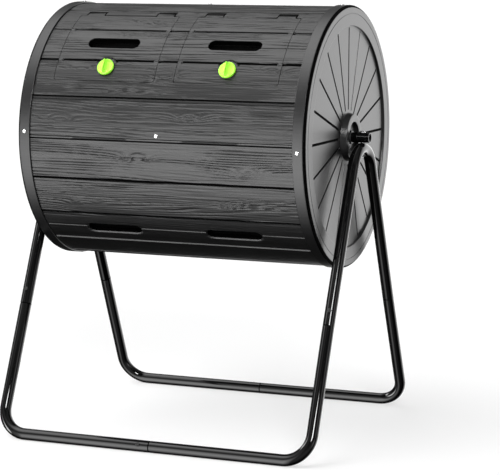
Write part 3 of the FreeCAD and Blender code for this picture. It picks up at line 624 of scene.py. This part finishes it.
def spread(low, high, step):
    """Radii of the rows on the sunk face, closer together at the spokes' ends."""
    rows = list(np.arange(low, high, step))
    for end in (SPOKE_INNER, SPOKE_OUTER):
        rows += list(np.arange(end - 0.0036, end + 0.0037, 0.0006))
    rows = sorted(row for row in rows if low < row < high)
    return [row for row, following in zip(rows, rows[1:] + [high]) if following - row > 0.0002]


def spoke_columns(radius):
    """Angles of the columns over one spoke's sector, so that its sides are straight."""
    radius = min(max(radius, 0.045), RECESS_RADIUS)
    across = (0.0012, SPOKE_HALF - SPOKE_SLOPE, SPOKE_HALF, SPOKE_HALF + 0.0006)
    near = [math.degrees(math.asin(place / radius)) for place in across]
    half_sector = 180 / SPOKES
    between = 5
    even = [near[-1] + (half_sector - near[-1]) * number / between
            for number in range(1, between + 1)]
    half = near + even
    return [0] + half + [2 * half_sector - angle for angle in reversed(half[:-1])]


def spoke_cut(radius, angle):
    """How deep a spoke's groove is at a place of the sunk face."""
    from_spoke = (angle + 180 / SPOKES) % (360 / SPOKES) - 180 / SPOKES
    along = radius * math.cos(math.radians(from_spoke))
    across = radius * math.sin(math.radians(from_spoke))
    beyond = max(SPOKE_INNER - along, along - SPOKE_OUTER, 0)
    inside = SPOKE_HALF - math.hypot(across, beyond)
    return SPOKE_DEPTH * min(max(inside / SPOKE_SLOPE, 0), 1)


def paint_cap_shade(mesh):
    """Painted shade: the floors of the spoke grooves and the rim's rounded edge take the near-black matt
    plastic.
    """
    mesh.materials.append(bpy.data.materials["painted_shade_plastic"])
    floor = SUNK_FACE - SPOKE_DEPTH
    for face in mesh.polygons:
        middle = face.center
        radius = math.hypot(middle.y, middle.z - AXLE_HEIGHT)
        in_spoke = abs(abs(middle.x) - floor) < 0.0003 and abs(radius - 0.15) < 0.09
        past_face = CAP_FACE - abs(middle.x)
        on_rim = CAP_RADIUS - RIM_ROUNDING < radius < CAP_RADIUS - 0.0002
        if in_spoke or (on_rim and 0.0002 < past_face < RIM_ROUNDING):
            face.material_index = 1


def end_cap(hand, side, material):
    """A moulded cap: hub, sunk face with spoke grooves, and a band round the panels."""
    band_bore = PANEL_RADIUS + 0.0003
    rib = PANEL_RADIUS - 0.0043
    back = CAP_FACE - CAP_WALL
    front = rounded_path([
        (0.300, BUSH_RADIUS, 0), (CAP_FACE, BUSH_RADIUS, 0.0004), (CAP_FACE, HUB_RECESS, 0.0008),
        (HUB_FACE, HUB_RECESS, 0.0008), (HUB_FACE, HUB_RADIUS, 0.0025),
        (SUNK_FACE, HUB_RADIUS + 0.003, 0.0015), (SUNK_FACE, HUB_RADIUS + 0.005, 0)])
    face = [Vector((SUNK_FACE, radius)) for radius in spread(HUB_RADIUS + 0.0055, 0.2395, 0.012)]
    outer = rounded_path([
        (SUNK_FACE, 0.2395, 0), (SUNK_FACE, RECESS_RADIUS, 0.0008),
        (CAP_FACE, RECESS_RADIUS + 0.001, 0.001), (CAP_FACE, RECESS_RADIUS + 0.003, 0),
        (CAP_FACE, LINE_RADIUS - 0.0025, 0),
        (CAP_FACE, LINE_RADIUS - 0.0009, 0.0002), (CAP_FACE - 0.0008, LINE_RADIUS - 0.0005, 0),
        (CAP_FACE - 0.0008, LINE_RADIUS + 0.0005, 0), (CAP_FACE, LINE_RADIUS + 0.0009, 0.0002),
        (CAP_FACE, LINE_RADIUS + 0.0025, 0), (CAP_FACE, CAP_RADIUS - RIM_ROUNDING - 0.001, 0),
        (CAP_FACE, CAP_RADIUS, RIM_ROUNDING), (CAP_FACE - RIM_ROUNDING - 0.001, CAP_RADIUS, 0),
        (CAP_BAND_END + 0.0022, CAP_RADIUS, 0), (CAP_BAND_END, CAP_RADIUS, 0.0012),
        (CAP_BAND_END, band_bore, 0), (back, band_bore, 0), (back, rib, 0),
        (CAP_BAND_END + 0.002, rib, 0), (CAP_BAND_END + 0.002, rib - 0.0035, 0),
        (back, rib - 0.0035, 0), (back, RECESS_RADIUS + CAP_WALL, 0),
        (SUNK_FACE - CAP_WALL, RECESS_RADIUS + CAP_WALL, 0),
        (SUNK_FACE - CAP_WALL, HUB_RADIUS - 0.0015, 0),
        (HUB_FACE - CAP_WALL, HUB_RADIUS - 0.004, 0), (HUB_FACE - CAP_WALL, HUB_RECESS + CAP_WALL, 0),
        (CAP_FACE - CAP_WALL, HUB_RECESS + CAP_WALL, 0), (CAP_FACE - CAP_WALL, BUSH_RADIUS + 0.004, 0),
        (0.300, BUSH_RADIUS + 0.004, 0)])
    points = []
    path = front + face + outer
    for row in path:
        sector = spoke_columns(row.y)
        for spoke in range(SPOKES):
            for step in sector:
                angle = spoke * 360 / SPOKES + step
                cut = spoke_cut(row.y, angle) if abs(row.x - SUNK_FACE) < 1e-6 else 0
                turn = math.radians(angle)
                points.append((side * (row.x - cut), row.y * math.sin(turn),
                               AXLE_HEIGHT + row.y * math.cos(turn)))
    columns = SPOKES * len(spoke_columns(1))
    faces = grid_faces(len(path), columns, closed_rows=True, closed_columns=True)
    piece = new_piece(f"end_cap_{hand}_moulding", points, faces, "drum", material, 28)
    # painted shade on the spoke floors and the rim's rounded edge
    paint_cap_shade(piece.data)
    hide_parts(f"end_cap_{hand}")
    return piece


# ---------------------------------------------------------------- knobs

KNOB_RADIUS = 0.0188
KNOB_THICKNESS = 0.005
KNOB_ROUNDING = 0.0016
KNOB_COLUMNS = 96
FIN_ROWS = 34
FIN_HEIGHT = 0.0116
SPINDLE_RADIUS = 0.006
SPINDLE_LENGTH = 0.0144


def latch_matrix(side):
    """From a latch's own frame, +Z out of its door and +Y up the door, to the scene."""
    turn = math.radians(LATCH_ANGLE)
    columns = Matrix(((1, 0, 0), (0, math.sin(turn), -math.cos(turn)),
                      (0, math.cos(turn), math.sin(turn)))).to_4x4()
    return Matrix.Translation((side * DOOR_PLACE, 0, AXLE_HEIGHT)) @ columns


def fin(x, y):
    """Height of the finger fin that stands across a knob, with hollow flanks."""
    flank = math.exp(-max(abs(x + 0.0005) - 0.0009, 0) / (0.0038 if x > 0 else 0.0012))
    end = KNOB_RADIUS - 0.0012
    window = min(max((end - abs(y)) / 0.0055, 0), 1)
    window = window * window * (3 - 2 * window)
    return FIN_HEIGHT * flank * window * (0.93 + 0.07 * y / KNOB_RADIUS)


def knob(hand, side, material):
    """A round knob with a finger fin across it and a spindle through its door."""
    base = PANEL_RADIUS + 0.0008
    top = base + KNOB_THICKNESS
    columns = KNOB_COLUMNS
    flat = KNOB_RADIUS - KNOB_ROUNDING
    path = [(flat * (number / FIN_ROWS) ** 0.85, top, True) for number in range(1, FIN_ROWS + 1)]
    for number in range(1, 6):
        turn = math.pi / 2 * number / 5
        path.append((KNOB_RADIUS - KNOB_ROUNDING * (1 - math.sin(turn)),
                     top - KNOB_ROUNDING * (1 - math.cos(turn)), False))
    path += [(KNOB_RADIUS, base + 0.0006, False), (KNOB_RADIUS - 0.0006, base, False),
             (SPINDLE_RADIUS, base, False), (SPINDLE_RADIUS, base - SPINDLE_LENGTH + 0.003, False),
             (SPINDLE_RADIUS - 0.002, base - SPINDLE_LENGTH, False)]
    matrix = latch_matrix(side)
    points = []
    for radius, height, has_fin in path:
        for column in range(columns):
            turn = 2 * math.pi * column / columns
            x = radius * math.cos(turn)
            y = radius * math.sin(turn)
            rise = fin(x, y) if has_fin else 0
            points.append(matrix @ Vector((x, y, height + rise)))
    faces = grid_faces(len(path), columns, closed_columns=True)
    points.append(matrix @ Vector((0, 0, top + fin(0, 0))))
    middle = len(points) - 1
    faces += [(middle, (column + 1) % columns, column) for column in range(columns)]
    faces.append(tuple((len(path) - 1) * columns + column for column in range(columns)))
    piece = new_piece(f"knob_{hand}", points, faces, f"latch_{hand}", material, 40)
    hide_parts(f"latch_knob_{hand}")
    return piece


# ---------------------------------------------------------------- tube joints

TUBE_RADIUS = 0.0127
LEAN_ANGLE = 24.4
RAIL_PLACE = 0.3264
ARCH_PLACE = 0.3609
LEG_JOINT_HEIGHT = 0.28
JOINT_BEVEL = 0.0013
ON_TUBE = TUBE_RADIUS + 0.0001
NEAR_TUBE = 0.014


def tube_joints():
    """Each joint of the frame's tubes, as a place and the direction along the tube."""
    lean = math.radians(LEAN_ANGLE)
    joints = []
    for back in (-1, 1):
        up = Vector((0, back * -math.sin(lean), math.cos(lean)))
        foot = Vector((0, back * RAIL_PLACE, TUBE_RADIUS))
        leg_joint = foot + up * ((LEG_JOINT_HEIGHT - TUBE_RADIUS) / math.cos(lean))
        for side in (-1, 1):
            joints.append((leg_joint + Vector((side * ARCH_PLACE, 0, 0)), up))
        joints.append((foot, Vector((1, 0, 0))))
    return joints


def cut_round(work, joint, along, height):
    """Cut the faces of the joint's own tube by a plane across it."""
    def from_line(point):
        return (point - joint).cross(along).length

    faces = [face for face in work.faces
             if min(from_line(vertex.co) for vertex in face.verts) < ON_TUBE
             and from_line(face.calc_center_median()) < NEAR_TUBE]
    edges = list({edge for face in faces for edge in face.edges})
    vertices = list({vertex for face in faces for vertex in face.verts})
    bmesh.ops.bisect_plane(work, geom=faces + edges + vertices, dist=1e-6,
                           plane_co=joint + along * height, plane_no=along)


def bevel_and_shade_joints(mesh):
    """Draw in the last stretch of a tube next to each of its joints as a groove, and give the groove's
    faces the near-black matt plastic as painted shade.
    """
    mesh.materials.append(bpy.data.materials["painted_shade_plastic"])
    work = bmesh.new()
    work.from_mesh(mesh)
    bmesh.ops.remove_doubles(work, verts=work.verts, dist=1e-6)
    for joint, along in tube_joints():
        for height in (-JOINT_BEVEL, JOINT_BEVEL):
            cut_round(work, joint, along, height)
        for vertex in work.verts:
            away = vertex.co - joint
            height = away.dot(along)
            across = away - along * height
            if abs(height) > 1e-5 or across.length < TUBE_RADIUS - 0.0004:
                continue
            vertex.co -= across.normalized() * JOINT_BEVEL
            for face in vertex.link_faces:
                if max(abs((corner.co - joint).dot(along)) for corner in face.verts) < 0.002:
                    face.material_index = 1
    work.to_mesh(mesh)
    work.free()


# ---------------------------------------------------------------- materials

def new_material(name, colour, roughness, metallic=0.0, specular=0.5):
    material = bpy.data.materials.new(name)
    material.use_nodes = True
    shader = material.node_tree.nodes["Principled BSDF"]
    shader.inputs["Base Color"].default_value = (*colour, 1)
    shader.inputs["Roughness"].default_value = roughness
    shader.inputs["Metallic"].default_value = metallic
    shader.inputs["Specular IOR Level"].default_value = specular
    return material, material.node_tree, shader


def stretched_noise(tree, scale, detail, rough=0.6, vector=None):
    """A noise texture stretched by three scales, over the object unless a vector is given."""
    if vector is None:
        vector = tree.nodes.new("ShaderNodeTexCoord").outputs["Object"]
    mapping = tree.nodes.new("ShaderNodeMapping")
    mapping.inputs["Scale"].default_value = scale
    texture = tree.nodes.new("ShaderNodeTexNoise")
    texture.inputs["Scale"].default_value = 1.0
    texture.inputs["Detail"].default_value = detail
    texture.inputs["Roughness"].default_value = rough
    tree.links.new(vector, mapping.inputs["Vector"])
    tree.links.new(mapping.outputs["Vector"], texture.inputs["Vector"])
    return texture.outputs["Fac"]


def colour_between(tree, factor, dark, light, low=0.3, high=0.7):
    ramp = tree.nodes.new("ShaderNodeValToRGB")
    ramp.color_ramp.elements[0].position = low
    ramp.color_ramp.elements[0].color = (*dark, 1)
    ramp.color_ramp.elements[1].position = high
    ramp.color_ramp.elements[1].color = (*light, 1)
    tree.links.new(factor, ramp.inputs["Fac"])
    return ramp.outputs["Color"]


def calculate(tree, operation, *terms):
    """A Math node's result, from sockets or numbers."""
    node = tree.nodes.new("ShaderNodeMath")
    node.operation = operation
    for socket, term in zip(node.inputs, terms):
        if isinstance(term, (int, float)):
            socket.default_value = term
        else:
            tree.links.new(term, socket)
    return node.outputs[0]


def range_of(tree, factor, low, high):
    spread_node = tree.nodes.new("ShaderNodeMapRange")
    spread_node.inputs["To Min"].default_value = low
    spread_node.inputs["To Max"].default_value = high
    tree.links.new(factor, spread_node.inputs["Value"])
    return spread_node.outputs["Result"]


def from_axle(tree):
    """The places along X and Y, and the height over the axle, of a point of the object."""
    place = tree.nodes.new("ShaderNodeTexCoord")
    split = tree.nodes.new("ShaderNodeSeparateXYZ")
    tree.links.new(place.outputs["Object"], split.inputs["Vector"])
    height = calculate(tree, "SUBTRACT", split.outputs["Z"], AXLE_HEIGHT)
    return split.outputs["X"], split.outputs["Y"], height


def bump(tree, shader, factor, distance, strength, under=None):
    node = tree.nodes.new("ShaderNodeBump")
    node.inputs["Distance"].default_value = distance
    node.inputs["Strength"].default_value = strength
    tree.links.new(factor, node.inputs["Height"])
    if under:
        tree.links.new(under, node.inputs["Normal"])
    tree.links.new(node.outputs["Normal"], shader.inputs["Normal"])
    return node.outputs["Normal"]


def grained_plastic():
    """Dark grey moulded plastic with fine fibres along X, and painted shade that darkens it where it
    lies deeper, in the grooves.
    """
    material, tree, shader = new_material("grained_plastic", (0.008, 0.008, 0.008), 0.36, specular=0.6)
    _, across, height = from_axle(tree)
    squares = calculate(tree, "ADD", calculate(tree, "POWER", across, 2.0),
                        calculate(tree, "POWER", height, 2.0))
    radius = calculate(tree, "SQRT", squares)
    depth = calculate(tree, "MULTIPLY", calculate(tree, "SUBTRACT", PANEL_RADIUS, radius), 1000.0)

    fibres = stretched_noise(tree, (7, 620, 620), detail=5)
    patches = stretched_noise(tree, (5, 60, 60), detail=3)
    blend = calculate(tree, "MULTIPLY_ADD", fibres, 0.6, range_of(tree, patches, 0.0, 0.4))
    colour = colour_between(tree, blend, (0.002, 0.002, 0.002), (0.014, 0.014, 0.0143))
    # Painted shade: the base colour is mixed towards near black with the depth below the wall's face, as
    # the shade in grooves.
    painted_groove_shade = tree.nodes.new("ShaderNodeMix")
    painted_groove_shade.data_type = "RGBA"
    tree.links.new(calculate(tree, "MULTIPLY", depth, 0.9), painted_groove_shade.inputs["Factor"])
    tree.links.new(colour, painted_groove_shade.inputs["A"])
    painted_groove_shade.inputs["B"].default_value = (0.001, 0.001, 0.001, 1)
    tree.links.new(painted_groove_shade.outputs["Result"], shader.inputs["Base Color"])
    shallow = calculate(tree, "MINIMUM", depth, 1.0)
    rough = calculate(tree, "MULTIPLY_ADD", shallow, 0.14, range_of(tree, fibres, 0.24, 0.38))
    tree.links.new(rough, shader.inputs["Roughness"])
    bump(tree, shader, fibres, 0.0005, 0.7)
    return material


def painted_shade_plastic():
    """Painted shade: a near-black matt plastic put on groove floors, pockets, the cap's rim and tube
    joints, to stand in for the shade that falls there.
    """
    material, tree, shader = new_material("painted_shade_plastic", (0.001, 0.001, 0.001), 0.8, specular=0.03)
    fibres = stretched_noise(tree, (5, 330, 330), detail=1)
    colour = colour_between(tree, fibres, (0.0002, 0.0002, 0.0002), (0.004, 0.004, 0.004), 0.5, 0.8)
    tree.links.new(colour, shader.inputs["Base Color"])
    tree.links.new(range_of(tree, fibres, 0.7, 0.95), shader.inputs["Roughness"])
    return material


def cap_plastic():
    """Dark grey satin plastic with faint strokes that run out from the hub."""
    material, tree, shader = new_material("cap_plastic", (0.02, 0.02, 0.021), 0.32)
    along, across, height = from_axle(tree)
    polar = tree.nodes.new("ShaderNodeCombineXYZ")
    tree.links.new(calculate(tree, "ARCTAN2", across, height), polar.inputs["X"])
    tree.links.new(along, polar.inputs["Y"])
    strokes = stretched_noise(tree, (70, 12, 1), detail=4, rough=0.5, vector=polar.outputs[0])
    colour = colour_between(tree, strokes, (0.006, 0.006, 0.0062), (0.011, 0.011, 0.0113))
    tree.links.new(colour, shader.inputs["Base Color"])
    grit = stretched_noise(tree, (900, 900, 900), detail=2)
    tree.links.new(range_of(tree, grit, 0.28, 0.34), shader.inputs["Roughness"])
    under = bump(tree, shader, grit, 0.00002, 0.4)
    bump(tree, shader, strokes, 0.00015, 0.35, under)
    return material


def tube_paint():
    """Gloss black powder coat with a slight orange peel."""
    material, tree, shader = new_material("tube_paint", (0.002, 0.002, 0.0022), 0.14, specular=0.3)
    shader.inputs["Coat Weight"].default_value = 0.16
    shader.inputs["Coat Roughness"].default_value = 0.06
    peel = stretched_noise(tree, (420, 420, 420), detail=2)
    colour = colour_between(tree, peel, (0.001, 0.001, 0.0011), (0.003, 0.003, 0.0031))
    tree.links.new(colour, shader.inputs["Base Color"])
    tree.links.new(range_of(tree, peel, 0.05, 0.09), shader.inputs["Roughness"])
    bump(tree, shader, peel, 0.00002, 0.3)
    return material


def knob_plastic():
    """Lime green plastic, a little cloudy under a satin surface."""
    material, tree, shader = new_material("knob_plastic", (0.33, 0.90, 0.045), 0.32)
    cloud = stretched_noise(tree, (90, 90, 90), detail=3)
    colour = colour_between(tree, cloud, (0.29, 0.86, 0.035), (0.38, 0.96, 0.05))
    tree.links.new(colour, shader.inputs["Base Color"])
    grit = stretched_noise(tree, (1500, 1500, 1500), detail=2)
    tree.links.new(range_of(tree, grit, 0.26, 0.40), shader.inputs["Roughness"])
    bump(tree, shader, grit, 0.00003, 0.4)
    return material


def plain_plastic(name, dark, light, rough_low, rough_high):
    material, tree, shader = new_material(name, dark, rough_low)
    grit = stretched_noise(tree, (700, 700, 700), detail=3)
    tree.links.new(colour_between(tree, grit, dark, light), shader.inputs["Base Color"])
    tree.links.new(range_of(tree, grit, rough_low, rough_high), shader.inputs["Roughness"])
    bump(tree, shader, grit, 0.00005, 0.5)
    return material


def metal(name, dark, light, rough_low, rough_high):
    material, tree, shader = new_material(name, dark, rough_low, metallic=1.0)
    brushed = stretched_noise(tree, (300, 900, 900), detail=4)
    tree.links.new(colour_between(tree, brushed, dark, light), shader.inputs["Base Color"])
    tree.links.new(range_of(tree, brushed, rough_low, rough_high), shader.inputs["Roughness"])
    bump(tree, shader, brushed, 0.00003, 0.4)
    return material


# ---------------------------------------------------------------- the object

def build_drum(wood, cap, black, zinc):
    door_panel("panel_door_front", wood)
    for node, middle in (("panel_lower_front", -45), ("panel_lower_rear", -135),
                         ("panel_upper_rear", 135)):
        plain_panel(node, middle, wood)
    for hand, side in (("left", -1), ("right", 1)):
        end_cap(hand, side, cap)
        door(hand, side, wood)
        finished(f"bush_{hand}", black)
        finished(f"cap_screws_{hand}", zinc)
    finished("divider", cap)
    finished("divider_screws", zinc)
    finished("hinge_pins", zinc)


def build_latches(lime, black, zinc):
    for hand, side in (("left", -1), ("right", 1)):
        knob(hand, side, lime)
        finished(f"latch_tongue_{hand}", black)
        finished(f"latch_screw_{hand}", zinc)


def build_frame(paint, dull, zinc):
    for hand in ("left", "right"):
        for node in (f"arch_{hand}", f"corner_tube_front_{hand}", f"corner_tube_rear_{hand}"):
            # the tube joints get a groove with painted shade in it
            finished(node, paint, change=bevel_and_shade_joints)
    finished("axle", paint)
    for node in ("tube_screws_front", "tube_screws_rear"):
        finished(node, dull)
    for node in ("axle_bolts", "axle_nuts"):
        finished(node, zinc)


# ---------------------------------------------------------------- camera and light

CAMERA_AZIMUTH = 21.673       # from the front towards +X
CAMERA_ELEVATION = 7.824
CAMERA_ROLL = 0.2636
CAMERA_DISTANCE = 4.52383
CAMERA_TARGET = (0.09844, 0, 0.42974)
LENS = 145.008                # for a sensor 36 mm wide


def place_camera():
    azimuth = math.radians(CAMERA_AZIMUTH)
    elevation = math.radians(CAMERA_ELEVATION)
    back = Vector((math.sin(azimuth) * math.cos(elevation),
                   -math.cos(azimuth) * math.cos(elevation), math.sin(elevation)))
    data = bpy.data.cameras.new("camera")
    data.lens = LENS
    data.sensor_width = 36
    data.clip_end = 100
    camera = bpy.data.objects.new("camera", data)
    bpy.context.scene.collection.objects.link(camera)
    camera.rotation_mode = "QUATERNION"
    roll = Matrix.Rotation(math.radians(CAMERA_ROLL), 4, "Z")
    facing = back.to_track_quat("Z", "Y").to_matrix().to_4x4()
    camera.rotation_quaternion = (facing @ roll).to_quaternion()
    camera.location = Vector(CAMERA_TARGET) + back * CAMERA_DISTANCE
    bpy.context.scene.camera = camera


# Brightness of the studio by the direction in the plane across the axle: 0 is
# straight ahead, 90 up, 180 back and -90 down.
STUDIO_BANDS = [
    (-180, 0.06), (-165, 0.06), (-140, 0.03), (-92, 0.03), (-80, 0.15), (-68, 0.9), (-56, 2.4),
    (-44, 4.8), (-26, 5.8), (-8, 5.3), (4, 3.8), (16, 1.5), (28, 0.4), (40, 0.5), (52, 1.6),
    (64, 3.3), (76, 4.0), (94, 3.5), (112, 2.3), (124, 1.1), (136, 0.3), (156, 0.15), (180, 0.06),
]
# Brightness by the direction's share along +X: full a little to the left of the
# middle, dark to the right, and with one narrow strip far to the left.
STUDIO_SIDES = [
    (-1, 0.1), (-0.92, 0.1), (-0.89, 2.5), (-0.81, 2.5), (-0.78, 0.1), (-0.56, 0.3), (-0.46, 1.0),
    (-0.24, 1.0), (0.04, 0.08), (0.88, 0.08), (0.94, 0.4), (1, 0.4),
]
# Round lights: the direction, its dot product with the direction seen at the
# light's edge and where the light is full, and its brightness.
STUDIO_LIGHTS = [
    ((0.366, 0.921, -0.136), 0.68, 0.90, 2.2),       # mirrored in the face of a cap
    ((0.398, -0.777, 0.488), 0.989, 0.9935, 40.0),   # in the lower half of a front leg
]
BRIGHTEST = 40.0


def value_curve(tree, value, low, high, levels):
    """A value from a list of pairs: place from low to high, and level up to the brightest."""
    node = tree.nodes.new("ShaderNodeMapRange")
    node.inputs["From Min"].default_value = low
    node.inputs["From Max"].default_value = high
    tree.links.new(value, node.inputs["Value"])
    ramp = tree.nodes.new("ShaderNodeValToRGB")
    elements = ramp.color_ramp.elements
    while len(elements) < len(levels):
        elements.new(0.5)
    for element, (place, level) in zip(elements, levels):
        element.position = (place - low) / (high - low)
        element.color = (level / BRIGHTEST, level / BRIGHTEST, level / BRIGHTEST, 1)
    tree.links.new(node.outputs["Result"], ramp.inputs["Fac"])
    return calculate(tree, "MULTIPLY", ramp.outputs["Color"], BRIGHTEST)


def studio_world():
    world = bpy.data.worlds.new("studio")
    bpy.context.scene.world = world
    world.use_nodes = True
    tree = world.node_tree
    place = tree.nodes.new("ShaderNodeTexCoord")
    split = tree.nodes.new("ShaderNodeSeparateXYZ")
    tree.links.new(place.outputs["Generated"], split.inputs["Vector"])
    ahead = calculate(tree, "MULTIPLY", split.outputs["Y"], -1.0)
    turn = calculate(tree, "ARCTAN2", split.outputs["Z"], ahead)
    bands = value_curve(tree, turn, -math.pi, math.pi,
                        [(math.radians(angle), level) for angle, level in STUDIO_BANDS])
    sides = value_curve(tree, split.outputs["X"], -1, 1, STUDIO_SIDES)
    level = calculate(tree, "MULTIPLY", bands, sides)
    for direction, edge, full, brightness in STUDIO_LIGHTS:
        towards = tree.nodes.new("ShaderNodeVectorMath")
        towards.operation = "DOT_PRODUCT"
        towards.inputs[1].default_value = direction
        tree.links.new(place.outputs["Generated"], towards.inputs[0])
        light = value_curve(tree, towards.outputs["Value"], edge, 1, [(edge, 0.0), (full, brightness)])
        level = calculate(tree, "ADD", level, light)
    path = tree.nodes.new("ShaderNodeLightPath")
    seen = calculate(tree, "SUBTRACT", 1.0, path.outputs["Is Camera Ray"])
    level = calculate(tree, "MULTIPLY_ADD", level, seen, path.outputs["Is Camera Ray"])
    tree.links.new(level, tree.nodes["Background"].inputs["Strength"])
    tree.nodes["Background"].inputs["Color"].default_value = (1, 1, 1, 1)


def studio_floor():
    material, tree, shader = new_material("floor", (0.3, 0.3, 0.3), 0.9, specular=0.0)
    shader.inputs["Emission Color"].default_value = (1, 1, 1, 1)
    shader.inputs["Emission Strength"].default_value = 0.56
    size = 60
    drop = -0.0005
    mesh = bpy.data.meshes.new("floor")
    mesh.from_pydata([(-size, -size, drop), (size, -size, drop), (size, size, drop),
                      (-size, size, drop)], [], [(0, 1, 2, 3)])
    mesh.materials.append(material)
    floor = bpy.data.objects.new("floor", mesh)
    bpy.context.scene.collection.objects.link(floor)
    floor.visible_diffuse = False
    floor.visible_glossy = False


def key_light():
    sun = bpy.data.lights.new("key", "SUN")
    sun.energy = 2.0
    sun.angle = math.radians(45)
    key = bpy.data.objects.new("key", sun)
    key.rotation_euler = Euler((math.radians(38), 0, math.radians(-35)))
    key.visible_glossy = False
    bpy.context.scene.collection.objects.link(key)


def main():
    wood = grained_plastic()
    # the near-black matt plastic used as painted shade
    painted_shade_plastic()
    cap = cap_plastic()
    paint = tube_paint()
    lime = knob_plastic()
    dull = plain_plastic("black_steel", (0.001, 0.001, 0.001), (0.004, 0.004, 0.004), 0.5, 0.7)
    black = plain_plastic("black_plastic", (0.010, 0.010, 0.011), (0.020, 0.020, 0.021), 0.35, 0.5)
    zinc = metal("zinc", (0.62, 0.62, 0.62), (0.85, 0.85, 0.86), 0.18, 0.32)
    build_drum(wood, cap, black, zinc)
    build_latches(lime, black, zinc)
    build_frame(paint, dull, zinc)
    place_camera()
    studio_world()
    studio_floor()
    key_light()
    bpy.context.scene.view_settings.view_transform = "Standard"
    bpy.context.scene.view_settings.look = "None"


main()
